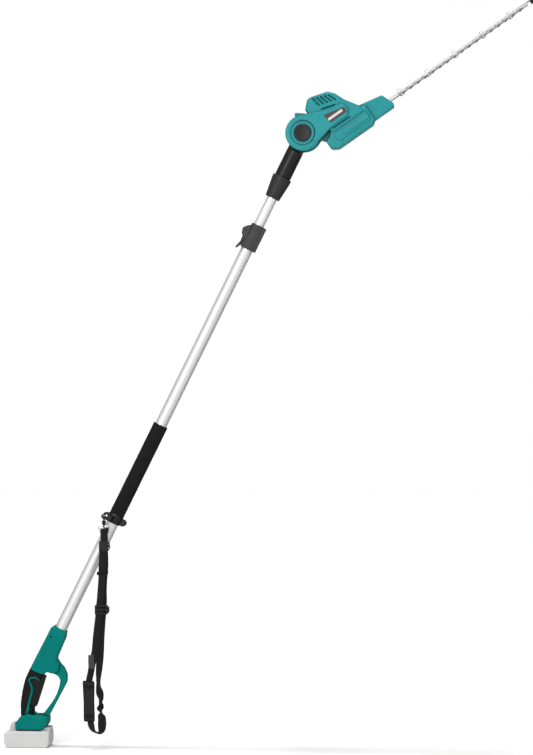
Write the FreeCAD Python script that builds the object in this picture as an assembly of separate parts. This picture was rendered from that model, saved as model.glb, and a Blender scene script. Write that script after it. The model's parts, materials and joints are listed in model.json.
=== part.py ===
import FreeCAD, Part
import math
import os
from FreeCAD import Placement, Rotation, Vector

# Pole hedge trimmer, millimetres.  +Z up, +X the way the pole leans, +Y across the tool.
# The origin is under the middle of the battery pack, on the face that it stands on.

# ---------------------------------------------------------------- driving sizes
LEAN = 26.3                    # pole from the vertical, towards +X
TILT = 28.9                    # head below the line of the pole
PIVOT = Vector(693.5, 0, 1535)  # axis of the head joint

UPPER_R, UPPER_WALL = 13.0, 1.5
LOWER_R, LOWER_WALL = 15.0, 1.5
TUBE_END = 1450.0              # from the head joint to the lower tube's end
CLAMP_TOP, CLAMP_FOOT = 254.0, 320.0
NUT_TOP, NUT_FOOT = 120.0, 177.0
NECK_R, NECK_TOP = 20.6, 46.0
FOAM_R, FOAM_TOP, FOAM_FOOT = 18.75, 809.0, 1062.9
BRACKET_TOP, BRACKET_FOOT = 1063.0, 1083.6
UPPER_TOP, UPPER_FOOT = 128.0, 790.0

JOINT_R = 44.0                 # cheeks of the head joint
CHEEK_OUT, CHEEK_IN = 32.0, 14.0
KNOB_R = 21.4
PIVOT_BOLT_R = 6.0

MOTOR_U, GEAR_U = 86.0, 110.0  # motor and gear axes, along the head
MODULE, GEAR_TEETH, PINION_TEETH = 0.8, 50, 10
ECCENTRIC_R, THROW = 12.0, 7.0
YOKE_RIM = 3.2                 # width of the frame round each eccentric

BLADE_W = 24.0
BLADE_T = 2.2
BLADE_END = 636.0
TOOTH_PITCH, TOOTH_REACH = 22.0, 28.0
BOLT_FIRST, BOLT_PITCH, BOLT_COUNT = 256.0, 82.0, 5
RAIL_V, UPPER_V, LOWER_V = -53.5, -56.3, -59.1   # underside of each flat bar

GRIP_HALF, GUARD_HALF, DOCK_HALF = 19.0, 10.0, 31.0
TRIGGER_HALF = 14.0
TRIGGER_PIVOT = (22.0, 181.0)
RUN = 0.04                     # radial clearance of a running fit
GAP = 0.4                      # clearance between parts that pass each other

BATTERY_HALF = 37.0
STRAP_Y = -36.0
WEB_T, WEB_W = 1.8, 20.0

BRACKET_MIDDLE = -(BRACKET_TOP + BRACKET_FOOT) / 2
BOSS_X = 23.0                            # screw boss of the band, across the pole
RIVET = (-17.8, BRACKET_MIDDLE + 2.8)    # rivet of the strap's plate, across and along the pole
EYE = (-23.5, BRACKET_MIDDLE - 1.75)     # hole that the snap hook hangs from

X, Y, Z = Vector(1, 0, 0), Vector(0, 1, 0), Vector(0, 0, 1)
POLE = Placement(PIVOT, Rotation(Y, LEAN))
HEAD = Placement(PIVOT, Rotation(Y, LEAN + TILT - 90))
HANG = Placement(Vector(5.6, 0, 3.7), Rotation())   # the hanging strap, beside the handle

os.makedirs("parts", exist_ok=True)


# ---------------------------------------------------------------- helpers
def save(name, *solids):
    """Write one node; several loose solids go out as a compound."""
    shape = solids[0] if len(solids) == 1 else Part.makeCompound(list(solids))
    if not shape.isValid():
        shape.fix(0.01, 0.01, 0.1)
    shape.exportStep("parts/" + name + ".step")
    volume = sum(s.Volume for s in shape.Solids)
    print(f"{name:22s} solids {len(shape.Solids):3d}  volume {volume / 1000:9.2f} cm3")


def put(shape, place):
    moved = shape.copy()
    moved.Placement = place.multiply(moved.Placement)
    return moved


def outline(points, radius=0.0):
    """Closed face in the XZ plane through (x, z) or (x, z, corner radius) points."""
    corners = [(Vector(p[0], 0, p[1]), p[2] if len(p) > 2 else radius) for p in points]
    edges, count = [], len(corners)
    starts, ends = [], []
    arcs = []
    for i, (here, r) in enumerate(corners):
        back = (corners[i - 1][0] - here).normalize()
        ahead = (corners[(i + 1) % count][0] - here).normalize()
        half = math.acos(max(-1.0, min(1.0, back.dot(ahead)))) / 2
        if r <= 0 or half > math.pi / 2 - 0.01:
            starts.append(here)
            ends.append(here)
            arcs.append(None)
            continue
        room = 0.49 * min((corners[i - 1][0] - here).Length, (corners[(i + 1) % count][0] - here).Length)
        cut = min(r / math.tan(half), room)
        r = cut * math.tan(half)
        middle = here + (back + ahead).normalize() * (r / math.sin(half) - r)
        starts.append(here + back * cut)
        ends.append(here + ahead * cut)
        arcs.append(middle)
    for i in range(count):
        if arcs[i]:
            edges.append(Part.Arc(starts[i], arcs[i], ends[i]).toShape())
        after = starts[(i + 1) % count]
        if (after - ends[i]).Length > 1e-6:
            edges.append(Part.LineSegment(ends[i], after).toShape())
    return Part.Face(Part.Wire(edges))


def slab(face, y0, y1):
    """The face in the XZ plane, swept from y0 to y1."""
    moved = face.copy()
    moved.translate(Vector(0, y0, 0))
    return moved.extrude(Vector(0, y1 - y0, 0))


def block(x0, x1, y0, y1, z0, z1):
    return Part.makeBox(x1 - x0, y1 - y0, z1 - z0, Vector(x0, y0, z0))


def rod(r, start, along, length):
    return Part.makeCylinder(r, length, start, along)


def tube(r, inner, start, along, length):
    return rod(r, start, along, length).cut(rod(inner, start, along, length))


def turned(points, start=Vector(), along=Z):
    """A solid turned about the Z axis from (radius, height) points, then aimed."""
    ring = [Vector(r, 0, h) for r, h in points]
    face = Part.Face(Part.makePolygon(ring + [ring[0]]))
    solid = face.revolve(Vector(), Z, 360)
    solid.Placement = Placement(start, Rotation(Z, along))
    return solid


def fused(first, *others):
    return first.multiFuse(list(others)).removeSplitter()


def rim_fillet(solid, y, radius):
    """Round the rim where a slab's outer face meets its sides."""
    rim = []
    for edge in solid.Edges:
        box = edge.BoundBox
        if abs(box.YMin - y) < 0.01 and abs(box.YMax - y) < 0.01:
            rim.append(edge)
    return solid.makeFillet(radius, rim)


def near_half(face, half, radius):
    return rim_fillet(slab(face, -half, 0), -half, radius)


def shell_cavity(face, half, wall):
    inner = face.makeOffset2D(-wall, join=0)
    return slab(inner, -half + wall, 0.01)


def main_body(shape):
    """The moulding itself, without any chip that a cut leaves loose."""
    return max(shape.Solids, key=lambda solid: solid.Volume)


def other_side(shape):
    return shape.mirror(Vector(), Y)


def torus(major, minor, centre, along):
    return Part.makeTorus(major, minor, centre, along)


def hexagon(across, start, along, length):
    radius = across / math.sqrt(3)
    ring = [Vector(radius * math.cos(math.radians(60 * k)), radius * math.sin(math.radians(60 * k)), 0)
            for k in range(7)]
    solid = Part.Face(Part.makePolygon(ring)).extrude(Vector(0, 0, length))
    solid.Placement = Placement(start, Rotation(Z, along))
    return solid


def screw(x, z, side, face_y, head_r, shank_r, length):
    """Cross-head screw along Y; side is +1 when its head faces +Y."""
    head = rod(head_r, Vector(x, face_y, z), Vector(0, -side, 0), 2.6)
    shank = rod(shank_r, Vector(x, face_y - side * 2.6, z), Vector(0, -side, 0), length)
    cross = fused(block(x - 2.0, x + 2.0, face_y - 1.2, face_y + 1.2, z - 0.4, z + 0.4),
                  block(x - 0.4, x + 0.4, face_y - 1.2, face_y + 1.2, z - 2.0, z + 2.0))
    return fused(head, shank).cut(cross)


# ---------------------------------------------------------------- rear handle
def handle_outlines():
    body = outline([
        (66.5, 305.5, 1.5), (58.5, 300, 2), (5, 196.5, 60), (-6.5, 172, 60), (-13.8, 143, 80),
        (-18.7, 110, 80), (-17.5, 60, 2), (13, 60, 2), (13, 98, 1), (3.5, 98, 1), (13.5, 139, 4),
        (13.5, 151, 8), (5.5, 167, 5), (9, 171.5, 4), (20, 171.5, 6), (31, 165, 1), (38, 181, 3),
        (47.3, 188.5, 9), (66, 183, 20), (78, 192, 3), (80, 209, 4), (71.5, 221, 9), (76, 233, 12),
        (94, 274, 25), (96.5, 290.5, 1.5)])
    guard = outline([
        (60, 185), (66, 183, 10), (76.3, 177.5, 12), (81, 168, 9), (79.5, 155, 40),
        (72.3, 133, 60), (62, 115, 20), (39, 84, 12), (31, 81, 8), (20, 82, 8), (14, 90, 6),
        (12.5, 60), (49, 60), (51, 76, 6), (97.5, 163, 16), (98, 181, 22), (91, 198, 22),
        (76, 214, 6), (62, 203)])
    dock = outline([
        (-17.8, 77, 4), (-30, 62, 9), (-30, 47, 3), (-27, 42.3, 2), (32.8, 42.3, 9),
        (42, 46, 9), (51, 60, 10), (51, 77, 5), (38, 80.5, 12), (14, 80.5, 5), (2, 83.5, 4)])
    return body, guard, dock


GRIP_PAD = [(4.6, 198), (16, 191.5), (38, 183), (44.5, 177.5), (36.5, 172), (31, 165.5), (29.5, 169),
            (20.5, 176.3), (7.5, 176), (1, 170), (8.6, 149.5), (8.6, 139.5), (-6.5, 81),
            (-40, 70), (-40, 200)]
GRIP_FOOT = [(13.6, 97.2), (3.8, 97.2), (-0.5, 81.5), (13.6, 81.5)]
TRIGGER_SIDE = [
    (43.5, 176, 3), (19.6, 100.6, 2), (4.2, 100.6, 1), (12.2, 140, 6), (12.2, 151, 4), (5.8, 167.5, 3),
    (8, 174, 3), (15, 192, 2), (24, 193.5, 2), (29.5, 184, 2), (37, 180.5, 2)]
TRIGGER_TRAVEL = 6.0
HANDLE_SCREWS = [(30, 223), (64, 197), (90.5, 178), (-19, 60), (43, 62)]
LOCK_OFF = (27.0, 203.0)


def rear_handle():
    body, guard, dock = handle_outlines()
    parts = [near_half(body, GRIP_HALF, 6), near_half(guard, GUARD_HALF, 2),
             near_half(dock, DOCK_HALF, 6)]
    half = fused(*parts)
    skin = fused(half, other_side(half))
    cavity = fused(shell_cavity(body, GRIP_HALF, 4.2), shell_cavity(guard, GUARD_HALF, 2.6),
                   shell_cavity(dock, DOCK_HALF, 2.8))
    shell = half.cut(cavity)

    # pockets shared by both shells
    fixed = TRIGGER_PIVOT[0], 0, TRIGGER_PIVOT[1]
    trigger = slab(outline(TRIGGER_SIDE), -TRIGGER_HALF, TRIGGER_HALF)
    swing = []
    for part_way in (0.0, 0.5, 1.0):
        face = outline(TRIGGER_SIDE).makeOffset2D(0.9)
        face.rotate(Vector(*fixed), Y, TRIGGER_TRAVEL * part_way)
        swing.append(slab(face, -TRIGGER_HALF - 0.8, TRIGGER_HALF + 0.8))
    trigger_room = fused(*swing)
    shell = shell.cut(trigger_room)
    collar = slab(outline([(58, 300), (72, 310), (100, 292), (84, 268), (60, 224), (30, 238)]), -19, 0)
    collar = collar.common(half)
    shell = fused(shell, collar)
    tube_room = put(rod(LOWER_R, Vector(0, 0, -TUBE_END), Z, 400), POLE)
    wire_room = put(rod(LOWER_R - 3, Vector(0, 0, -TUBE_END - 60), Z, 80), POLE)
    rail_room = fused(block(-60, 80, -25, 25, 40, 51.9), block(-60, 80, -21.5, 21.5, 51, 53.4))
    shell = shell.cut(tube_room).cut(wire_room).cut(rail_room)
    tongue = block(-26, 34, -25.4, -22, 44.4, 47.4)
    shell = fused(shell, tongue)
    shell = shell.cut(rod(2.02, Vector(*fixed) - Y * 16.4, Y, 33))

    far = other_side(shell)
    bosses_near, bosses_far, screws = [], [], []
    for x, z in HANDLE_SCREWS:
        depth = DOCK_HALF if z < 80 else GUARD_HALF if x > 80 else GRIP_HALF
        post = rod(4.2, Vector(x, -depth + 1.5, z), Y, depth - 1.5)
        bosses_near.append(post.cut(rod(1.7, Vector(x, -depth + 5, z), Y, depth)))
        bosses_far.append(post.mirror(Vector(), Y))
        screws.append(screw(x, z, 1, depth - 0.6, 3.2, 1.6, min(depth + 4, 22)))
    near = fused(shell, *bosses_near).cut(trigger_room).cut(rail_room)
    for x, z in HANDLE_SCREWS:
        depth = DOCK_HALF if z < 80 else GUARD_HALF if x > 80 else GRIP_HALF
        near = near.cut(rod(1.7, Vector(x, -depth + 2, z), Y, depth))
    far = fused(far, *bosses_far).cut(trigger_room).cut(rail_room)
    for x, z in HANDLE_SCREWS:
        depth = DOCK_HALF if z < 80 else GUARD_HALF if x > 80 else GRIP_HALF
        far = far.cut(rod(3.4, Vector(x, depth - 3.2, z), Y, 9)).cut(rod(1.7, Vector(x, -1, z), Y, depth))
    grub = screw(59.5, 277.5, -1, -GRIP_HALF + 1.6, 3.0, 1.5, 1.0)
    near = near.cut(rod(3.2, Vector(59.5, -GRIP_HALF - 1, 277.5), Y, 5.4))
    near = near.cut(rod(1.6, Vector(59.5, -GRIP_HALF, 277.5), Y, 6))

    # soft grip: a 2 mm layer let into both shells, in one piece round the back
    core = fused(*[slab(body.makeOffset2D(-2.0, join=0), -GRIP_HALF + 2, GRIP_HALF - 2)])
    pad_zone = slab(outline(GRIP_PAD), -40, 40)
    foot_zone = slab(outline(GRIP_FOOT), -40, 40)
    grip_skin = skin.common(slab(body, -GRIP_HALF, GRIP_HALF)).cut(core)
    above_dock = slab(outline([(-60, 79), (60, 83.5), (60, 260), (-60, 260)]), -40, 40)
    pad = grip_skin.common(pad_zone).common(above_dock).cut(trigger_room)
    foot = grip_skin.common(foot_zone).common(above_dock).cut(trigger_room)
    near = near.cut(pad_zone.common(above_dock).common(grip_skin)).cut(foot)
    far = far.cut(pad_zone.common(above_dock).common(grip_skin)).cut(foot)

    lock_x, lock_z = LOCK_OFF
    far = far.cut(rod(6.4, Vector(lock_x, 5, lock_z), Y, 20))
    lock_off = fused(rod(6, Vector(lock_x, 12.5, lock_z), Y, 9), rod(3, Vector(lock_x, 6, lock_z), Y, 7))
    save("handle_shell_near", main_body(near))
    save("handle_shell_far", main_body(far))
    save("grip_overmould", main_body(pad), main_body(foot))
    save("handle_screws", grub, *screws)
    save("lock_off_button", lock_off)

    trigger = rim_fillet(rim_fillet(trigger, -TRIGGER_HALF, 1.8), TRIGGER_HALF, 1.8)
    hollow = slab(outline(TRIGGER_SIDE).makeOffset2D(-2.6, join=0), -TRIGGER_HALF + 2.6, TRIGGER_HALF - 2.6)
    back = []
    for shift in (-7, -14):
        opened = hollow.copy()
        opened.translate(Vector(shift, 0, 0))
        back.append(opened)
    around_pin = rod(4.5, Vector(*fixed) - Y * TRIGGER_HALF, Y, 2 * TRIGGER_HALF)
    trigger = trigger.cut(fused(hollow, *back).cut(around_pin))
    trigger = fused(trigger, block(7.6, 24.6, -4, 4, 118, 130))
    trigger = trigger.cut(rod(2.0 + RUN, Vector(*fixed) - Y * 20, Y, 40))
    save("trigger", trigger)
    save("trigger_pin", rod(2.0, Vector(*fixed) - Y * 16.2, Y, 32.4))
    pocket = Vector(-1, 0, 124)
    save("trigger_spring", *[torus(2.6, 0.5, pocket + X * (1.3 * k), X) for k in range(-8, 7)])
    save("power_switch", fused(block(36, 58, -9, 9, 192, 212), block(33.6, 36, -3, 3, 196, 201)))

    terminals = [block(-4, 20, y - 0.6, y + 0.6, 45.5, 57) for y in (-14, -5, 5, 14)]
    save("terminal_block", block(-12, 30, -18, 18, 54, 66).cut(Part.makeCompound(terminals)))
    save("terminal_blades", *terminals)


# ---------------------------------------------------------------- battery pack
def battery():
    case = outline([
        (-50, 0, 6), (51, 0, 6), (57, 12, 8), (57, 38, 4), (50, 41.6, 2), (-29, 41.6, 1),
        (-46, 41.6, 5), (-57, 36, 6), (-57, 12, 8)])
    half = near_half(case, BATTERY_HALF, 5)
    full = fused(half, other_side(half))
    inner = shell_cavity(case, BATTERY_HALF, 2.4)
    full = full.cut(fused(inner, other_side(inner)))
    low_zone, high_zone = block(-70, 70, -50, 50, -1, 20), block(-70, 70, -50, 50, 20, 60)
    lower = full.common(low_zone)
    upper = full.common(high_zone)
    rails = rim_fillet(rim_fillet(slab(outline([(-28, 39.5), (57, 39.5), (57, 50, 3), (-28, 50, 1)]),
                                       -24, 24), -24, 1), 24, 1)
    slots = [block(-14, 60, y - 1.6, y + 1.6, 44.4, 53) for y in (-14, -5, 5, 14)]
    grooves = [block(-60, 60, -26, -21.6, 43.8, 47.9), block(-60, 60, 21.6, 26, 43.8, 47.9)]
    rails = rails.cut(Part.makeCompound(slots)).cut(Part.makeCompound(grooves))
    upper = fused(upper, rails)
    upper = upper.cut(block(-46, -30.4, -17.5, 17.5, 34, 46))
    shelf = fused(block(-47, -29.5, -19, 19, 29, 31), block(-47, -46, -19, 19, 29, 40),
                  block(-30.4, -29.4, -19, 19, 29, 40))
    upper = fused(upper, shelf)
    save("battery_case_lower", lower)
    save("battery_case_upper", upper)

    button = slab(outline([(-45.4, 40, 1), (-45.4, 52, 4), (-41.5, 60.5, 4), (-33, 60.5, 2),
                           (-30.9, 54, 1), (-30.9, 40, 1)]), -17, 17)
    button = rim_fillet(rim_fillet(button, -17, 3), 17, 3)
    save("battery_button", button)
    springs = [tube(2.6, 1.8, Vector(-38, y, 31.2), Z, 8.6) for y in (-9, 9)]
    save("button_springs", *springs)

    cells = []
    for x in (-44, -24.5, -5, 14.5, 34):
        cells.append(rod(9.2, Vector(x + 5, -32.5, 12.3), Y, 65))
    save("battery_cells", *cells)


# ---------------------------------------------------------------- pole
def pole():
    def along(points_r, top, foot):
        return put(rod(points_r, Vector(0, 0, -foot), Z, foot - top), POLE)

    lower = along(LOWER_R, CLAMP_TOP + 8, TUBE_END).cut(along(LOWER_R - LOWER_WALL, 200, TUBE_END + 50))
    save("lower_tube", lower)
    upper = along(UPPER_R, UPPER_TOP, UPPER_FOOT).cut(along(UPPER_R - UPPER_WALL, 100, UPPER_FOOT + 9))
    save("upper_tube", upper)
    guide_r = LOWER_R - LOWER_WALL - 0.05
    guide = fused(along(guide_r, UPPER_FOOT, UPPER_FOOT + 14),
                  along(UPPER_R - UPPER_WALL, UPPER_FOOT - 18, UPPER_FOOT + 1))
    guide = guide.cut(along(8, 700, 900))
    save("tube_guide", guide)
    coil_r = 9.0
    coil = along(coil_r, 890, 1370).cut(along(coil_r - 4, 880, 1380))
    save("spiral_cable", coil)

    foam = along(FOAM_R, FOAM_TOP, FOAM_FOOT)
    foam = foam.makeFillet(2.0, [e for e in foam.Edges if isinstance(e.Curve, Part.Circle)])
    foam = foam.cut(along(LOWER_R, 700, 1200))
    save("foam_grip", foam)

    # strap bracket: a split band with a plate for the strap at the front left and a screw boss at the right
    band = rod(20.0, Vector(0, 0, -BRACKET_FOOT), Z, BRACKET_FOOT - BRACKET_TOP)
    band = band.makeChamfer(1.5, [e for e in band.Edges
                                  if isinstance(e.Curve, Part.Circle) and e.BoundBox.ZMax < BRACKET_MIDDLE])
    middle = BRACKET_MIDDLE
    flange = fused(block(12, BOSS_X, -8.5, 8.5, middle - 8, middle + 8),
                   rod(8.6, Vector(BOSS_X, -8.5, middle), Y, 17))
    eye_x, eye_z = EYE
    rivet_x, rivet_z = RIVET
    plate = fused(rod(9.5, Vector(rivet_x, STRAP_Y - 3, rivet_z), Y, 6),
                  rod(6.5, Vector(eye_x, STRAP_Y - 3, eye_z), Y, 6),
                  block(rivet_x, -4, STRAP_Y - 3, STRAP_Y + 3, middle - 8, middle + 8),
                  block(-14.2, -4, STRAP_Y + 1, -13, middle - 8, middle + 8))
    bracket = fused(band, flange, plate)
    bracket = bracket.cut(rod(LOWER_R, Vector(0, 0, -1200), Z, 300))
    bracket = bracket.cut(block(10, 40, -1.2, 1.2, -1100, -1060))
    bracket = bracket.cut(rod(2.8, Vector(eye_x, STRAP_Y - 5, eye_z), Y, 10))
    bracket = bracket.cut(rod(2.0, Vector(rivet_x, STRAP_Y - 5, rivet_z), Y, 10))
    bracket = bracket.cut(rod(2.2, Vector(BOSS_X, -20, middle), Y, 40))
    bracket = bracket.cut(rod(4.2, Vector(BOSS_X, -8.6, middle), Y, 4))
    bracket = bracket.cut(hexagon(7.2, Vector(BOSS_X, 5.2, middle), Y, 4))
    save("strap_bracket", put(bracket, POLE))
    bolt = fused(rod(4.0, Vector(BOSS_X, -7.6, middle), Y, 3.0),
                 rod(2.1, Vector(BOSS_X, -4.6, middle), Y, 12))
    bolt = bolt.cut(hexagon(3.2, Vector(BOSS_X, -7.7, middle), Y, 1.8))
    nut = hexagon(7.0, Vector(BOSS_X, 5.2, middle), Y, 3.0).cut(rod(2.1, Vector(BOSS_X, 4, middle), Y, 6))
    rivet_head = [(0, 0), (3.0, 0), (2.6, 0.9), (1.4, 1.4), (0, 1.5)]
    rivet = fused(rod(2.0, Vector(rivet_x, STRAP_Y - 3.4, rivet_z), Y, 6.8),
                  turned(rivet_head, Vector(rivet_x, STRAP_Y - 3, rivet_z), -Y),
                  turned(rivet_head, Vector(rivet_x, STRAP_Y + 3, rivet_z), Y))
    save("bracket_screw", put(bolt, POLE), put(nut, POLE), put(rivet, POLE))


# ---------------------------------------------------------------- telescopic clamp
LEVER_X, LEVER_S = -22.5, 278.0
LEVER_HUB, LEVER_EAR = 5.2, 9.2   # radii of the lever's hub and of the ears beside it


def clamp():
    body = turned([(0, -CLAMP_FOOT), (20.4, -CLAMP_FOOT), (21.4, -CLAMP_FOOT + 1.2), (18.8, -CLAMP_TOP - 1.5),
                   (17.4, -CLAMP_TOP), (0, -CLAMP_TOP)])
    corner = fused(block(8, 20.6, -13, 13, -CLAMP_FOOT, -CLAMP_TOP - 0.5),
                   slab(outline([(-13, -CLAMP_TOP - 4), (-26, -268), (-27, -286), (-14, -300)]), -17, 17),
                   rod(LEVER_EAR, Vector(LEVER_X, -17, -LEVER_S), Y, 34))
    body = fused(body, corner)
    body = body.cut(rod(LOWER_R, Vector(0, 0, -CLAMP_FOOT - 1), Z, CLAMP_FOOT - CLAMP_TOP - 7))
    body = body.cut(rod(UPPER_R + 0.15, Vector(0, 0, -CLAMP_TOP - 20), Z, 30))
    body = body.cut(block(-40, -16.8, -11.6, 11.6, -CLAMP_FOOT - 1, -CLAMP_TOP + 1))
    body = body.cut(block(-40, 0, -1.0, 1.0, -300, -CLAMP_TOP + 1))
    body = body.cut(rod(2.52, Vector(LEVER_X, -30, -LEVER_S), Y, 60))
    save("clamp_body", put(body, POLE))
    lever = slab(outline([
        (LEVER_X + LEVER_HUB, -LEVER_S + LEVER_HUB, LEVER_HUB),
        (LEVER_X - LEVER_HUB, -LEVER_S + LEVER_HUB, LEVER_HUB),
        (LEVER_X - 8.6, -LEVER_S - 8, 7),
        (-24.6, -294, 6), (-23.6, -308, 5), (-28.8, -327, 0.6), (-27, -328, 0.6), (-19.6, -314, 4),
        (-17.4, -304, 4), (LEVER_X + LEVER_HUB, -290)]), -11, 11)
    lever = rim_fillet(rim_fillet(lever, -11, 0.8), 11, 0.8)
    lever = lever.cut(rod(2.5 + RUN, Vector(LEVER_X, -30, -LEVER_S), Y, 60))
    save("clamp_lever", put(lever, POLE))
    save("clamp_pin", put(rod(2.5, Vector(LEVER_X, -16.6, -LEVER_S), Y, 33.2), POLE))


# ---------------------------------------------------------------- neck, coupling nut
def neck():
    nut_points = [(18.6, -NUT_FOOT), (24.2, -NUT_TOP - 9), (24.2, -NUT_TOP - 1), (23.2, -NUT_TOP),
                  (18.9, -NUT_TOP), (18.9, -158), (14.5, -166), (14.5, -NUT_FOOT - 0.8),
                  (17.8, -NUT_FOOT - 0.8)]
    nut = turned(nut_points)
    ribs = []
    for k in range(24):
        groove = Part.makeCone(0.55, 0.8, 34, Vector(20.2, 0, -168), Vector(4.3, 0, 34))
        groove.rotate(Vector(), Z, 15 * k)
        ribs.append(groove)
    nut = nut.cut(Part.makeCompound(ribs))
    save("coupling_nut", put(nut, POLE))

    neck_body = turned([(0, -NUT_TOP + 1), (NECK_R - 0.4, -NUT_TOP + 1), (NECK_R, -NUT_TOP + 2.5),
                        (NECK_R, -NECK_TOP - 3),
                        (NECK_R - 2, -NECK_TOP), (0, -NECK_TOP)])
    spigot = rod(18.5, Vector(0, 0, -156), Z, 40)
    tongue = rod(38, Vector(0, -13.6, 0), Y, 27.2)
    web = block(-19, 19, -13.6, 13.6, -NECK_TOP - 6, -20)
    body = fused(neck_body, spigot, tongue, web)
    body = body.cut(rod(UPPER_R + 0.02, Vector(0, 0, -160), Z, 32.5))
    body = body.cut(rod(8, Vector(0, 0, -130), Z, 90)).cut(rod(16, Vector(0, 0, -112), Z, 56))
    body = body.cut(tube(34, 11, Vector(0, -8, 0), Y, 30).cut(block(-2, 2, -9, 24, -40, 40)))
    body = body.cut(rod(PIVOT_BOLT_R + RUN, Vector(0, -20, 0), Y, 40))
    body = body.cut(tube(33.2, 24.8, Vector(0, -13.7, 0), Y, 4.7))
    save("neck_adapter", put(body, POLE))
    ring = tube(33, 25, Vector(0, -12.6, 0), Y, 3.6)
    for k in range(24):
        notch = block(28, 34, -13, -10.6, -1.6, 1.6)
        notch.rotate(Vector(), Y, 15 * k)
        ring = ring.cut(notch)
    save("index_ring", put(ring, POLE))
    plug = tube(UPPER_R - UPPER_WALL, 6, Vector(0, 0, -160), Z, 30)
    save("connector_plug", put(plug, POLE))


# ---------------------------------------------------------------- head
def head_outlines():
    hump = outline([
        (36, 24, 3), (36.5, 44, 6), (55, 62, 7), (66, 62.5, 20), (109, 49.5, 16), (121, 35, 14),
        (131, 10, 20), (152, -23, 3), (160, -45, 3), (60, -45, 2), (56, -31, 6)])
    pod = outline([
        (62, -30, 2), (50, -44, 6), (34.5, -49, 6), (34.5, -72, 12), (52, -82, 8), (155, -82, 6),
        (166, -74, 4), (166, -32, 8), (140, -24, 4)])
    nozzle = outline([
        (146, -18, 2), (154, -23, 4), (213, -35, 4), (226, -68, 5), (222, -75.5, 3), (146, -75.5, 1)])
    arm = outline([
        (0, 44), (18, 40, 6), (40, 31, 20), (70, 16.5, 10), (122, 4, 8), (128, -14, 10),
        (116, -29, 9), (66, -29.5, 8), (36, -36, 26), (20, -38, 6), (0, -30)])
    return hump, pod, nozzle, arm


HEAD_SCREWS = [(50, 39, 30), (121, 8, 30), (46, -69, 28), (149, -73, 28), (188, -41, 21)]
LOUVRES, LOUVRE_DEEP = 5, 1.7
WEB_HALF = 18.0   # half width of the web between the joint's arm and the gear pod


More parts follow.
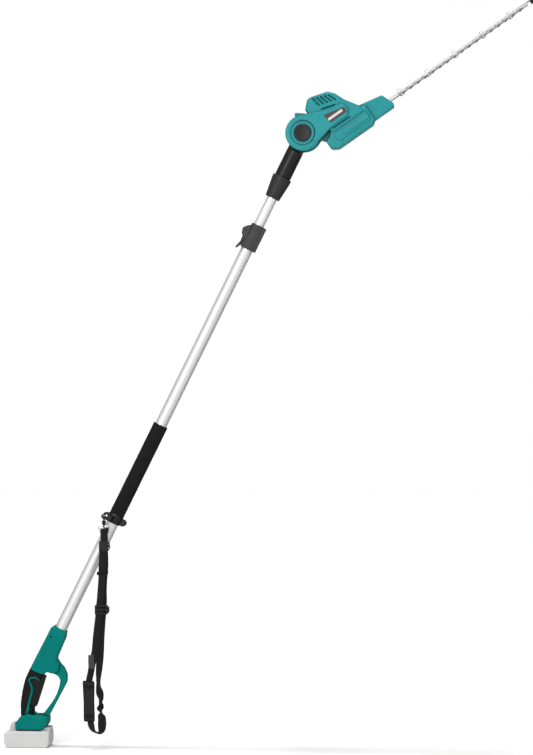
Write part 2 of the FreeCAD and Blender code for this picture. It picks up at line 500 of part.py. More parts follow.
def head():
    hump, pod, nozzle, arm = head_outlines()
    half = fused(near_half(hump, 30, 7.5), near_half(pod, 28, 6), near_half(nozzle, 21, 4))
    cavity = fused(shell_cavity(hump, 30, 2.6), shell_cavity(pod, 28, 2.6), shell_cavity(nozzle, 21, 2.6))
    shell = half.cut(cavity)
    cheek = rod(JOINT_R, Vector(0, -CHEEK_OUT, 0), Y, CHEEK_OUT - CHEEK_IN)
    cheek = rim_fillet(cheek, -CHEEK_OUT, 5)
    ring_groove = tube(31.5, 28.5, Vector(0, -CHEEK_OUT - 1, 0), Y, 2.2)
    plate = rim_fillet(slab(arm, -CHEEK_OUT - 1, -CHEEK_IN), -CHEEK_OUT - 1, 2)
    plate_cavity = slab(outline([(50, 14), (108, 2), (112, -16), (62, -26)]), -29, -5)
    tab_face = outline([(4.5, 40), (9.8, 51.5, 1.5), (14.6, 51.5, 1.5), (28.5, 39.5, 2), (38, 32), (20, 30)])
    tab = rim_fillet(slab(tab_face, -26, -CHEEK_IN), -26, 1.2)
    web_face = outline([(25, -35), (31.6, -28.1), (48, -23), (64, -29.5), (60, -45), (46, -54), (32, -45.5)])
    web = near_half(web_face, WEB_HALF, 1.5)
    joint_room = rod(JOINT_R + 0.6, Vector(0, -CHEEK_IN, 0), Y, 40)
    shell = fused(shell.cut(joint_room), cheek, plate, tab, web.cut(joint_room)).cut(plate_cavity)
    shell = shell.cut(ring_groove)

    # the pod's raised side panel and the long air slots
    panel = outline([(58, -46, 6), (62, -70, 9), (158, -70, 4), (158, -45, 3)])
    inset = outline([(78, -52, 5), (82, -64, 6), (158.5, -64, 2), (158.5, -51, 2)])
    raised = rim_fillet(slab(panel, -29.6, -26), -29.6, 1.2)
    raised_more = rim_fillet(slab(inset, -31.0, -29), -31.0, 1.0)
    shell = fused(shell, raised, raised_more)
    for k in range(LOUVRES):
        u, v = 68.6 + 9.1 * k, 57.0 - 3.7 * k
        reach, drop = 3.7 + 1.1 * k, 24.7 - 0.7 * k
        pocket = outline([(u - 2.5, v, 1.2), (u + 2.5, v - 1, 1.2), (u + 2.5 + reach, v - 1 - drop, 1.2),
                          (u - 2.5 + reach, v - drop, 1.2)])
        shell = shell.cut(slab(pocket, -40, -30 + LOUVRE_DEEP))
    shell = shell.cut(rod(KNOB_R + GAP, Vector(0, -40, 0), Y, 40 - 18))
    shell = shell.cut(rod(PIVOT_BOLT_R + RUN, Vector(0, -40, 0), Y, 40))
    mouth = block(205, 240, -14, 14, -66, -46)
    motor_room = rod(20.3, Vector(MOTOR_U, 0, -30), Z, 75.5)
    gear_room = block(57.4, 138.6, -24.6, 24.6, -48.6, -29.4)
    shell = shell.cut(mouth).cut(motor_room).cut(gear_room)
    # each slit is closed behind by a baffle that turns the air aside
    for (u0, v0), (u1, v1) in (((70.5, 20.4), (105.3, 10.1)), ((66, -35.0), (119, -36.0))):
        baffle = outline([(u0 - 1.5, v0 - 1.5), (u1 + 1.5, v1 - 1.5), (u1 + 2.1, v1 + 3.9),
                          (u0 - 0.9, v0 + 3.9)])
        slit = outline([(u0, v0), (u1, v1), (u1 + 0.6, v1 + 2.4), (u0 + 0.6, v0 + 2.4)])
        shell = fused(shell, slab(baffle, -28.5, -24.7)).cut(slab(slit, -34, -25.7))

    near, far = shell, other_side(shell)
    screws = []
    for u, v, depth in HEAD_SCREWS:
        post = rod(4.4, Vector(u, -depth + 1.5, v), Y, depth - 1.5)
        near = fused(near, post)
        far = fused(far, other_side(post))
    for u, v, depth in HEAD_SCREWS:
        near = near.cut(rod(1.7, Vector(u, -depth + 5, v), Y, depth))
        far = far.cut(rod(3.4, Vector(u, depth - 3.2, v), Y, 9)).cut(rod(1.7, Vector(u, -1, v), Y, depth))
        screws.append(put(screw(u, v, 1, depth - 0.6, 3.2, 1.6, 22), HEAD))
    badge_face = outline([(67, 5.5, 1.2), (120, -7.5, 1.2), (119, -19.5, 1.2), (71, -19.5, 1.2)])
    badge = slab(badge_face, -CHEEK_OUT - 1.6, -CHEEK_OUT - 0.2)
    near = near.cut(slab(badge_face, -CHEEK_OUT - 2, -CHEEK_OUT - 0.2))
    save("head_shell_near", put(near, HEAD))
    save("head_shell_far", put(far, HEAD))
    save("badge_plate", put(badge, HEAD))
    save("head_screws", *screws)

    # joint hardware
    bolt = fused(hexagon(15, Vector(0, -22, 0), Y, 4), rod(PIVOT_BOLT_R, Vector(0, -18, 0), Y, 43))
    nut = hexagon(16, Vector(0, 18, 0), Y, 6).cut(rod(PIVOT_BOLT_R, Vector(0, 10, 0), Y, 20))
    save("pivot_bolt", put(bolt, HEAD), put(nut, HEAD))
    dish = [(0, 3.2), (5, 3.2), (8, 2.2), (14, 1.2), (17.5, 0), (KNOB_R - 1.2, 0), (KNOB_R, 1.2),
            (KNOB_R, 10), (17.5, 10), (17.5, 6.4), (0, 6.4)]
    button = turned(dish, Vector(0, -34.5, 0), Y)
    save("joint_button", put(button, HEAD))
    cap = turned(dish, Vector(0, 34.5, 0), -Y)
    save("joint_cap", put(cap, HEAD))
    coil = [torus(12.8, 0.8, Vector(0, -18.9 - 1.9 * k, 0), Y) for k in range(5)]
    save("button_spring", *[put(c, HEAD) for c in coil])

    motor_and_gears()
    blades()


def gear_wheel(teeth, bore, start, thick, turn):
    """Straight-toothed wheel on the v axis; its teeth are trapezia a little thinner than their gaps."""
    pitch_r = MODULE * teeth / 2
    root, tip = pitch_r - 1.2 * MODULE, pitch_r + 0.9 * MODULE
    points = []
    for k in range(teeth):
        middle = 2 * math.pi * k / teeth + turn
        half_root = 0.62 * math.pi / teeth
        half_tip = 0.24 * math.pi / teeth
        for angle, r in ((-half_root, root), (-half_tip, tip), (half_tip, tip), (half_root, root)):
            points.append(Vector(r * math.cos(middle + angle), r * math.sin(middle + angle), 0))
    wheel = Part.Face(Part.makePolygon(points + [points[0]])).extrude(Vector(0, 0, thick))
    wheel = wheel.cut(Part.makeCylinder(bore, thick + 2, Vector(0, 0, -1)))
    wheel.translate(start)
    return wheel


def motor_and_gears():
    can = turned([(19.5, -10), (19.5, 42), (17.5, 44), (4, 44), (4, 42), (17.5, 42), (17.5, -10)],
                 Vector(MOTOR_U, 0, 0))
    magnets = []
    for side in (0, 180):
        arc = tube(17.4, 15.4, Vector(MOTOR_U, 0, -4), Z, 40)
        wedge = block(MOTOR_U, MOTOR_U + 30, -14, 14, -10, 50)
        piece = arc.common(wedge)
        piece.rotate(Vector(MOTOR_U, 0, 0), Z, side)
        magnets.append(put(piece, HEAD))
    save("motor_can", put(can, HEAD), *magnets)
    shaft = rod(2.5, Vector(MOTOR_U, 0, -48), Z, 91)
    core = rod(14.6, Vector(MOTOR_U, 0, -2), Z, 34)
    for k in range(8):
        slot = block(11, 16, -1.2, 1.2, -3, 33)
        slot.rotate(Vector(), Z, 45 * k)
        slot.translate(Vector(MOTOR_U, 0, 0))
        core = core.cut(slot)
    save("motor_rotor", put(fused(shaft, core), HEAD))
    bearings = [tube(6, 2.5 + RUN, Vector(MOTOR_U, 0, -36), Z, 5),
                tube(3.95, 2.5 + RUN, Vector(MOTOR_U, 0, 42.1), Z, 1.8)]
    save("motor_bearings", *[put(b, HEAD) for b in bearings])
    fan = tube(5, 2.5, Vector(MOTOR_U, 0, -22), Z, 9)
    fan = fused(fan, tube(17.5, 4.5, Vector(MOTOR_U, 0, -22), Z, 1.2))
    for k in range(10):
        vane = block(4.8, 17, -0.6, 0.6, -21.2, -14)
        vane.rotate(Vector(), Z, 36 * k)
        vane.translate(Vector(MOTOR_U, 0, 0))
        fan = fan.fuse(vane)
    save("cooling_fan", put(fan.removeSplitter(), HEAD))
    pinion = gear_wheel(PINION_TEETH, 2.5, Vector(MOTOR_U, 0, -47), 7, 0.0)
    save("pinion", put(pinion, HEAD))

    plate = block(58, 138, -24, 24, -38, -30)
    plate = plate.makeFillet(3, [e for e in plate.Edges if abs(e.BoundBox.ZLength - 8) < 0.1])
    plate = plate.cut(rod(6, Vector(MOTOR_U, 0, -37), Z, 10)).cut(rod(3, Vector(MOTOR_U, 0, -40), Z, 14))
    plate = plate.cut(rod(4, Vector(GEAR_U, 0, -36), Z, 10))
    plate = plate.cut(rod(4, Vector(GEAR_U, 0, -39), Z, 10))
    save("gear_case", put(plate, HEAD))
    axle = fused(rod(4, Vector(GEAR_U, 0, -66), Z, 30.5), rod(7, Vector(GEAR_U, 0, -67.5), Z, 2))
    save("gear_axle", put(axle, HEAD))
    bore = 4 + RUN
    wheel = gear_wheel(GEAR_TEETH, bore, Vector(GEAR_U, 0, -47), 7, math.pi / GEAR_TEETH)
    hub = tube(7, bore, Vector(GEAR_U, 0, -53.8), Z, 7)
    first = rod(ECCENTRIC_R, Vector(GEAR_U, THROW, UPPER_V), Z, 2.6)
    link = rod(4.9, Vector(GEAR_U, 0, -60), Z, 10)
    second = rod(ECCENTRIC_R, Vector(GEAR_U, -THROW, LOWER_V - 0.4), Z, 2.7)
    wheel = fused(wheel, hub, first, link, second).cut(rod(bore, Vector(GEAR_U, 0, -70), Z, 40))
    save("drive_gear", put(wheel, HEAD))


def blade(underside, offset):
    """One cutting bar: a yoke for its eccentric, slots for the bolts and teeth on both edges."""
    top = underside + BLADE_T
    along = ECCENTRIC_R + 2 * THROW + 0.6
    across = ECCENTRIC_R + THROW + 0.6
    bar = block(GEAR_U + along + 1, BLADE_END, -BLADE_W / 2, BLADE_W / 2, underside, top)
    yoke = block(GEAR_U - along - YOKE_RIM, GEAR_U + along + YOKE_RIM, -across - YOKE_RIM, across + YOKE_RIM,
                 underside, top)
    yoke = yoke.cut(block(GEAR_U - along, GEAR_U + along, -across, across, underside - 1, top + 1))
    teeth = []
    count = int((BLADE_END - 18 - 246 - offset) / TOOTH_PITCH) + 1
    for k in range(count):
        u = 246 + offset + TOOTH_PITCH * k
        for side in (-1, 1):
            base, tip = BLADE_W / 2 - 1, TOOTH_REACH
            ring = [Vector(u, side * base, underside), Vector(u + 11, side * base, underside),
                    Vector(u + 8.6, side * tip, underside), Vector(u + 3.6, side * tip, underside)]
            teeth.append(Part.Face(Part.makePolygon(ring + [ring[0]])).extrude(Vector(0, 0, BLADE_T)))
    bar = fused(bar, yoke, *teeth)
    for k in range(BOLT_COUNT):
        u = BOLT_FIRST + BOLT_PITCH * k
        reach = THROW + 0.5
        slot = fused(block(u - reach, u + reach, -3.1, 3.1, underside - 1, top + 1),
                     rod(3.1, Vector(u - reach, 0, underside - 1), Z, BLADE_T + 2),
                     rod(3.1, Vector(u + reach, 0, underside - 1), Z, BLADE_T + 2))
        bar = bar.cut(slot)
    return bar


def blades():
    rail = block(150, BLADE_END + 10, -BLADE_W / 2, BLADE_W / 2, RAIL_V, RAIL_V + 3)
    rail = fused(rail, block(150, 204, -17, 17, RAIL_V, RAIL_V + 3))
    rail = fused(rail, block(168, 200, -10, 10, RAIL_V + 3, RAIL_V + 7.6))
    bolts, nuts = [], []
    for k in range(BOLT_COUNT):
        u = BOLT_FIRST + BOLT_PITCH * k
        rail = rail.cut(rod(2.55, Vector(u, 0, -60), Z, 20))
        bolt = fused(rod(2.5, Vector(u, 0, -64), Z, 20), hexagon(8.5, Vector(u, 0, -63.6), Z, 3.6),
                     rod(2.9, Vector(u, 0, -60.1), Z, 60.1 + RAIL_V - 0.05))
        bolts.append(put(bolt, HEAD))
        nut = hexagon(8.0, Vector(u, 0, RAIL_V + 3.0), Z, 3.6).cut(rod(2.5, Vector(u, 0, -60), Z, 20))
        nuts.append(put(nut, HEAD))
    save("blade_rail", put(rail, HEAD))
    save("blade_bolts", *bolts, *nuts)
    save("upper_blade", put(blade(UPPER_V, 0), HEAD))
    save("lower_blade", put(blade(LOWER_V, TOOTH_PITCH / 2), HEAD))
    tip = slab(outline([(BLADE_END + 9.5, RAIL_V + 4.5, 1.5), (BLADE_END + 22, RAIL_V + 2, 2),
                        (BLADE_END + 24, -58, 2),
                        (BLADE_END + 20, -62, 2), (BLADE_END + 9.5, -62, 1)]), -13, 13)
    tip = tip.cut(block(BLADE_END, BLADE_END + 10, -12.05, 12.05, RAIL_V - 0.05, RAIL_V + 3.05))
    save("tip_guard", put(tip, HEAD))


# ---------------------------------------------------------------- carrying strap
def strap():
    eye = POLE.multVec(Vector(EYE[0], STRAP_Y, EYE[1]))
    x, y, z = eye
    hook = fused(torus(5.6, 1.6, Vector(x, y, z - 5.4), X),
                 turned([(0, -16.5), (4.4, -16.5), (5.2, -15.7), (5.2, -12.6), (3.6, -11), (0, -11)], eye))
    hook = hook.cut(block(x - 5, x + 5, y + 2.6, y + 9, z - 8.8, z - 2.9))
    hook = hook.cut(rod(1.6, Vector(x, y, z - 18), Z, 4)).cut(rod(3.3, Vector(x, y, z - 15), Z, 2.4))
    save("snap_hook", hook)
    pin_z = z - 7.8
    gate = fused(rod(1.2, Vector(x, y + 5.6, pin_z - 0.6), Z, 5.1),
                 rod(0.8, Vector(x - 1.9, y + 5.6, pin_z), X, 3.8))
    save("hook_gate", gate)
    low = z - 16.5
    swivel = fused(rod(1.5, Vector(x, y, low - 2), Z, 5.4), rod(3.0, Vector(x, y, low + 1.9), Z, 1.6),
                   turned([(0, -5), (3.6, -5), (4.8, -3.8), (4.8, -0.4), (0, -0.4)], Vector(x, y, low)),
                   torus(3.4, 1.5, Vector(x, y, low - 8.3), X))
    save("hook_swivel", swivel)
    # D-ring and webbing
    ring_top = low - 8.8
    left, right, foot = x - 13.5, x + 13.5, ring_top - 8.5
    wire, bend = 1.3, 3.0
    width, height = right - left - 2 * bend, ring_top - foot - 2 * bend
    sides = [rod(wire, Vector(left + bend, y, level), X, width) for level in (ring_top, foot)]
    sides += [rod(wire, Vector(edge, y, foot + bend), Z, height) for edge in (left, right)]
    for edge, across in ((left, 1), (right, -1)):
        for level, along in ((foot, 1), (ring_top, -1)):
            centre = Vector(edge + across * bend, y, level + along * bend)
            inside = centre - Vector(across * 5, 0, along * 5)
            corner = block(min(centre.x, inside.x), max(centre.x, inside.x), y - 5, y + 5,
                           min(centre.z, inside.z), max(centre.z, inside.z))
            sides.append(torus(bend, wire, centre, Y).common(corner))
    ring = fused(*sides)
    save("strap_ring", ring)

    def ribbon(points, y0, y1, width):
        """Flat webbing in the XZ plane: a centre line made into a band of even width."""
        spine = [Vector(px, 0, pz) for px, pz in points]
        one, two = [], []
        for i, here in enumerate(spine):
            ahead = spine[min(i + 1, len(spine) - 1)] - spine[max(i - 1, 0)]
            side = Vector(-ahead.z, 0, ahead.x).normalize() * (width / 2)
            one.append(here + side)
            two.append(here - side)
        ring_points = one + two[::-1]
        face = Part.Face(Part.makePolygon(ring_points + [ring_points[0]]))
        return slab(face, y0, y1)

    low_edge = foot - HANG.Base.z - 2
    front = ribbon([(192, low_edge), (190.5, 455), (185, 342), (181, 267), (179.5, 217), (181, 178)],
                   STRAP_Y - 0.3 - WEB_T, STRAP_Y - 0.3, WEB_W)
    back = ribbon([(191, low_edge), (189.5, 455), (182, 342), (176, 267), (170, 217), (160, 190), (153, 168)],
                  STRAP_Y + 0.3, STRAP_Y + 0.3 + WEB_T, WEB_W)
    lower_loop = ribbon([(181, 182), (181.5, 130), (184, 100), (187, 72), (184, 48), (172, 39), (161, 46),
                         (155, 62)],
                        STRAP_Y - 0.3 - WEB_T, STRAP_Y - 0.3, 18)
    save("strap_webbing", put(fused(front, lower_loop), HANG), put(back, HANG))
    pad_face = outline([(138, 167, 3), (166, 165.5, 3), (166.5, 64, 3), (141, 65, 3)])
    pad = slab(pad_face, STRAP_Y - 5, STRAP_Y + 5)
    pad = pad.cut(block(100, 220, STRAP_Y - 2.2, STRAP_Y + 2.2, 155, 180))
    pad = pad.cut(block(100, 220, STRAP_Y - 2.2, STRAP_Y + 2.2, 50, 68))
    save("shoulder_pad", put(pad, HANG))
    label = slab(outline([(151.5, 231, 1), (166, 231, 1), (167.5, 197, 1), (152, 197, 1)]),
                 STRAP_Y - 2.6, STRAP_Y - 0.2)
    label = label.cut(front).cut(back)
    save("strap_label", put(label, HANG))
    slider = slab(outline([(168, 356, 2), (198.5, 356, 4), (204, 350, 3), (204, 339, 3), (198.5, 333, 4),
                           (168, 333, 2)]), STRAP_Y - 4.4, STRAP_Y + 4.4)
    slider = slider.cut(block(169.8, 198.2, STRAP_Y - 2.7, STRAP_Y + 2.7, 330, 359))
    for bar_z in (337, 347):
        window = outline([(174, bar_z + 5, 1), (196, bar_z + 5, 1), (196, bar_z, 1), (174, bar_z, 1)])
        slider = slider.cut(slab(window, STRAP_Y - 5, STRAP_Y - 2))
    save("strap_slider", put(slider, HANG))
    lock = slab(outline([(178.5, 516, 2), (200, 516, 5), (205.6, 509, 4), (205.6, 497, 4), (200, 490, 5),
                         (178.5, 490, 2)]), STRAP_Y - 4, STRAP_Y + 4)
    lock = lock.cut(front).cut(back).cut(block(100, 201.4, STRAP_Y - 2.2, STRAP_Y + 2.2, 480, 530))
    for hole_z in (508, 498):
        lock = lock.cut(rod(1.7, Vector(202.9, STRAP_Y - 10, hole_z), Y, 20))
    save("strap_buckle", put(lock, HANG))


rear_handle()
battery()
pole()
clamp()
neck()
head()
strap()
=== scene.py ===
import json
import math

import bmesh
import bpy
import numpy as np
from mathutils import Matrix, Vector


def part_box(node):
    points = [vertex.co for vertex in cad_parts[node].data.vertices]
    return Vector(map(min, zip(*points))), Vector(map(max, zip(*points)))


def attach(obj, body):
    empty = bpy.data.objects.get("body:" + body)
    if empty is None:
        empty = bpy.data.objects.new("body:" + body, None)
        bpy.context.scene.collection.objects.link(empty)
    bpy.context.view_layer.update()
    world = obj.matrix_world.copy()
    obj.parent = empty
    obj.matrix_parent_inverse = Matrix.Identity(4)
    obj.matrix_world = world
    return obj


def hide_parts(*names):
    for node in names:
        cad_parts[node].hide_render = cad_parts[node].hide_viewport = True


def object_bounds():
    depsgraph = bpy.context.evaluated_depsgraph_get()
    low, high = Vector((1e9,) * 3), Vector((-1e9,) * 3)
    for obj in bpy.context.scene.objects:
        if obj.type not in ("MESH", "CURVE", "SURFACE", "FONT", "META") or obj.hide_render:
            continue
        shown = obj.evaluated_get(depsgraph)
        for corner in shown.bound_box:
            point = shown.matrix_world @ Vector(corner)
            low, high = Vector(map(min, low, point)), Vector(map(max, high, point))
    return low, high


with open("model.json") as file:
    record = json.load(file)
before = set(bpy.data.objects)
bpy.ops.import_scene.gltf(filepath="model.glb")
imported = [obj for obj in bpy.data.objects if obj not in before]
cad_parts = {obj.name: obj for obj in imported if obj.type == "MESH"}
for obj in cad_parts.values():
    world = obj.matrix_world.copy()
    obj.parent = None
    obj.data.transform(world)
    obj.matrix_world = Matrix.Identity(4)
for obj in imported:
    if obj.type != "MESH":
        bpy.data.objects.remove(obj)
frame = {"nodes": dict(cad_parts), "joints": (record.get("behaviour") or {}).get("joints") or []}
cad_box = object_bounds()

MM = 0.001
NODES = frame["nodes"]
JOINTS = {joint["name"]: joint for joint in frame["joints"]}

# The pole's line and the head's line, from the two slides that run along them.
POLE_AXIS = Vector(JOINTS["pole_extend"]["axis"])
HEAD_AXIS = Vector(JOINTS["upper_blade_stroke"]["axis"])
POLE_LEAN = math.atan2(POLE_AXIS.x, POLE_AXIS.z)
HEAD_RISE = math.atan2(HEAD_AXIS.z, HEAD_AXIS.x)


# ---------------------------------------------------------------- surfaces
CREASE_SHADE = 0.3


class Surface:
    """A node material: one Principled shader and the patterns that feed it."""

    def __init__(self, name, colour, roughness, **sockets):
        self.material = bpy.data.materials.new(name)
        self.material.use_nodes = True
        self.tree = self.material.node_tree
        self.shader = self.tree.nodes["Principled BSDF"]
        self.colour = colour
        self.shader.inputs["Base Color"].default_value = (*colour, 1)
        self.shader.inputs["Roughness"].default_value = roughness
        for socket, value in sockets.items():
            self.shader.inputs[socket.replace("_", " ")].default_value = value
        self.place = self.add("TexCoord").outputs["Object"]
        self.normal = None

    def add(self, kind, inputs=None, **settings):
        node = self.tree.nodes.new("ShaderNode" + kind)
        for name, value in settings.items():
            setattr(node, name, value)
        for name, value in (inputs or {}).items():
            if isinstance(value, bpy.types.NodeSocket):
                self.tree.links.new(value, node.inputs[name])
            else:
                node.inputs[name].default_value = value
        return node

    def math(self, operation, first, second=0.0):
        return self.add("Math", {0: first, 1: second}, operation=operation).outputs[0]

    def turned(self, angle):
        """Object coordinates turned about Y, so that a slanting part lies along an axis."""
        return self.turned_about_y(self.place, angle)

    def turned_about_y(self, vector, angle):
        return self.add("VectorRotate", {"Vector": vector, "Angle": angle}, rotation_type="Y_AXIS").outputs[0]

    def stretched(self, vector, x, y, z):
        return self.add("VectorMath", {0: vector, 1: (x, y, z)}, operation="MULTIPLY").outputs[0]

    def noise(self, scale, detail=2.0, vector=None):
        node = self.add("TexNoise", {"Vector": vector or self.place, "Scale": scale, "Detail": detail})
        return node.outputs["Fac"]

    def cells(self, scale, feature="F1", vector=None):
        node = self.add("TexVoronoi", {"Vector": vector or self.place, "Scale": scale}, feature=feature)
        return node.outputs["Distance"]

    def spread(self, value, low, high, to_low=0.0, to_high=1.0):
        node = self.add("MapRange", {"Value": value, "From Min": low, "From Max": high,
                                     "To Min": to_low, "To Max": to_high})
        return node.outputs[0]

    def blend_colours(self, value, first, second):
        node = self.add("Mix", {0: value}, data_type="RGBA")
        for socket, colour in ((node.inputs[6], first), (node.inputs[7], second)):
            if isinstance(colour, bpy.types.NodeSocket):
                self.tree.links.new(colour, socket)
            else:
                socket.default_value = (*colour, 1)
        return node.outputs[2]

    def colour_from(self, socket):
        self.tree.links.new(socket, self.shader.inputs["Base Color"])
        self.painted = socket
        return self

    def roughness_from(self, value, low, high, to_low, to_high):
        self.tree.links.new(self.spread(value, low, high, to_low, to_high), self.shader.inputs["Roughness"])
        return self

    def mottled(self, change, scale=18.0):
        """Slow changes of tone over the moulding or cloth."""
        dark = [channel * (1 - change) for channel in self.colour]
        light = [min(1.0, channel * (1 + change)) for channel in self.colour]
        return self.colour_from(self.blend_colours(self.spread(self.noise(scale, 4), 0.3, 0.7), dark, light))

    def bumped(self, height, depth):
        inputs = {"Height": height, "Distance": depth}
        if self.normal:
            inputs["Normal"] = self.normal
        self.normal = self.add("Bump", inputs).outputs[0]
        self.tree.links.new(self.normal, self.shader.inputs["Normal"])
        return self

    def rounded(self, radius, samples=4):
        """Softens the light on edges, as a mould's radii do."""
        self.normal = self.add("Bevel", {"Radius": radius}, samples=samples).outputs[0]
        self.tree.links.new(self.normal, self.shader.inputs["Normal"])
        return self

    def creased(self, distance):
        """Darkens the corners and seams that light reaches badly."""
        open_sky = self.add("AmbientOcclusion", {"Distance": distance}, samples=8).outputs["AO"]
        hidden = self.spread(open_sky, 0.98, 0.5)
        dark = [channel * CREASE_SHADE for channel in self.colour]
        return self.colour_from(self.blend_colours(hidden, self.painted, dark))

    def worn_and_highlit_edges(self, radius, colour, amount):
        """Edges lighter, partly rubbed by wear and partly a painted edge highlight, more in some places than
        in others.
        """
        soft = self.add("Bevel", {"Radius": radius}, samples=4).outputs[0]
        flat = self.add("NewGeometry").outputs["Normal"]
        facing = self.add("VectorMath", {0: soft, 1: flat}, operation="DOT_PRODUCT").outputs["Value"]
        edge = self.spread(facing, 0.985, 0.86)
        patchy = self.spread(self.noise(90, 5), 0.35, 0.65, 0.3, 1.0)
        # The edge mask: where edges are lightened, as wear and as a painted edge highlight.
        worn = self.math("MULTIPLY", self.math("MULTIPLY", edge, patchy), amount)
        return self.colour_from(self.blend_colours(worn, self.painted, colour))


def moulded(name, colour, roughness, grain=0.5, depth=0.00003, lighter=1.7, edge=0.35, crease=0.0,
            soft=0.0007, **sockets):
    """Injection-moulded plastic: a fine spark-eroded grain, slow tone changes, edges lighter from wear and a
    painted highlight, painted shade in creases when crease is set.
    """
    surface = Surface(name, colour, roughness, **sockets)
    surface.mottled(0.07)
    # Lighter edges: wear plus a painted edge highlight.
    surface.worn_and_highlit_edges(0.0012, [min(1.0, channel * lighter + 0.012) for channel in colour], edge)
    if crease:
        surface.creased(crease)
    surface.rounded(soft, 8)
    pits = surface.noise(1.0 / (grain * MM), 3)
    surface.bumped(pits, depth)
    surface.bumped(surface.noise(140, 2), depth * 2)
    surface.roughness_from(surface.noise(35, 4), 0.3, 0.7, roughness - 0.05, roughness + 0.07)
    return surface.material


def rubber(name, colour):
    """Soft-touch overmould with a fine leather-like grain."""
    surface = Surface(name, colour, 0.62, Specular_IOR_Level=0.14)
    surface.mottled(0.14)
    # Lighter edges: wear plus a painted edge highlight.
    surface.worn_and_highlit_edges(0.0012, [channel * 2.2 for channel in colour], 0.5)
    surface.rounded(0.0006)
    surface.bumped(surface.spread(surface.cells(750, "DISTANCE_TO_EDGE"), 0.0, 0.16), 0.00010)
    surface.bumped(surface.noise(2600, 2), 0.00003)
    surface.roughness_from(surface.noise(60, 4), 0.3, 0.7, 0.55, 0.72)
    return surface.material


def foam(name, colour):
    """Closed-cell foam skin: small dimples over slow bumps, quite matt."""
    surface = Surface(name, colour, 0.85, Specular_IOR_Level=0.12)
    surface.mottled(0.18, 45)
    surface.bumped(surface.cells(620), 0.00025)
    surface.bumped(surface.noise(1900, 3), 0.00012)
    surface.bumped(surface.noise(70, 3), 0.0006)
    return surface.material


def metal(name, colour, roughness, along=None, depth=0.00001):
    """Metal with drawing or grinding lines along one direction, or with a plain fine grain."""
    surface = Surface(name, colour, roughness, Metallic=1.0)
    surface.mottled(0.06, 25)
    # Lighter edges: wear plus a painted edge highlight.
    surface.worn_and_highlit_edges(0.0008, [min(1.0, channel * 1.35) for channel in colour], 0.5)
    surface.rounded(0.0004)
    if along is None:
        lines = surface.noise(1500, 3)
    else:
        angle, scales = along
        lines = surface.noise(1.0, 4, surface.stretched(surface.turned(angle), *scales))
    surface.bumped(lines, depth)
    surface.roughness_from(lines, 0.3, 0.7, max(0.04, roughness - 0.08), roughness + 0.09)
    return surface.material


def tube_metal(name, colour, roughness, sheen_scale):
    """Satin anodised tube: fine drawn lines along it, faint rubbing round it."""
    surface = Surface(name, colour, roughness, Metallic=0.75, Specular_IOR_Level=0.5)
    line = surface.turned(-POLE_LEAN)
    drawn = surface.noise(1.0, 4, surface.stretched(line, 1400, 1400, 9))
    rubbed = surface.noise(1.0, 3, surface.stretched(line, 25, 25, sheen_scale))
    tone = surface.math("ADD", surface.math("MULTIPLY", drawn, 0.4), surface.math("MULTIPLY", rubbed, 0.6))
    dark = [channel * 0.955 for channel in colour]
    surface.colour_from(surface.blend_colours(surface.spread(tone, 0.35, 0.65), dark, colour))
    surface.bumped(drawn, 0.000006)
    surface.roughness_from(tone, 0.35, 0.65, roughness - 0.05, roughness + 0.06)
    return surface.material


def pale_case(name, colour):
    """The battery's pale grey moulding, matt, with a fine grain."""
    surface = Surface(name, colour, 0.55, Specular_IOR_Level=0.3)
    surface.mottled(0.03, 30)
    # Lighter edges: wear plus a painted edge highlight.
    surface.worn_and_highlit_edges(0.0015, [min(1.0, channel * 1.15) for channel in colour], 0.5)
    surface.rounded(0.001)
    surface.bumped(surface.noise(1700, 3), 0.00003)
    surface.roughness_from(surface.noise(35, 4), 0.3, 0.7, 0.5, 0.62)
    return surface.material


def webbing(name, colour, pick=1.9, end=2.1):
    """Woven tape. The weave follows the tape: u runs along it, v across, both in metres."""
    surface = Surface(name, colour, 0.72, Specular_IOR_Level=0.16, Sheen_Weight=0.06, Sheen_Roughness=0.5)
    uv = surface.add("UVMap", uv_map="UVMap").outputs[0]
    weave = surface.add("TexBrick", {"Vector": uv, "Scale": 1.0, "Brick Width": end * MM,
                                     "Row Height": pick * MM / 2, "Mortar Size": 0.00022,
                                     "Mortar Smooth": 1.0}, offset=0.5)
    gaps = weave.outputs["Fac"]
    threads = surface.noise(1.0, 2, surface.stretched(uv, 900, 5200, 1))
    worn = surface.noise(140, 4)
    dark = [channel * 0.45 for channel in colour]
    light = [channel * 1.5 for channel in colour]
    lit = surface.blend_colours(surface.spread(worn, 0.35, 0.7), colour, light)
    surface.colour_from(surface.blend_colours(gaps, lit, dark))
    surface.bumped(surface.math("SUBTRACT", 1.0, gaps), 0.00028)
    surface.bumped(threads, 0.00006)
    surface.roughness_from(worn, 0.3, 0.7, 0.66, 0.8)
    return surface.material


PAD_YARN = 0.0009


def pad_cloth(name, colour):
    """Plain-woven nylon over foam, its yarns along and across the hanging pad."""
    surface = Surface(name, colour, 0.7, Specular_IOR_Level=0.2, Sheen_Weight=0.07, Sheen_Roughness=0.45)
    flat = surface.add("SeparateXYZ", {0: surface.place}).outputs
    across = surface.math("SINE", surface.math("MULTIPLY", flat[0], 2 * math.pi / PAD_YARN))
    down = surface.math("SINE", surface.math("MULTIPLY", flat[2], 2 * math.pi / PAD_YARN))
    over = surface.spread(surface.math("MULTIPLY", across, down), -1, 1)
    worn = surface.noise(120, 5)
    dark = [channel * 0.6 for channel in colour]
    light = [channel * 1.35 for channel in colour]
    tone = surface.math("ADD", surface.math("MULTIPLY", over, 0.35), surface.math("MULTIPLY", worn, 0.65))
    surface.colour_from(surface.blend_colours(surface.spread(tone, 0.25, 0.75), dark, light))
    surface.bumped(over, 0.00012)
    surface.bumped(surface.noise(2600, 2), 0.00004)
    surface.roughness_from(worn, 0.3, 0.7, 0.62, 0.78)
    return surface.material


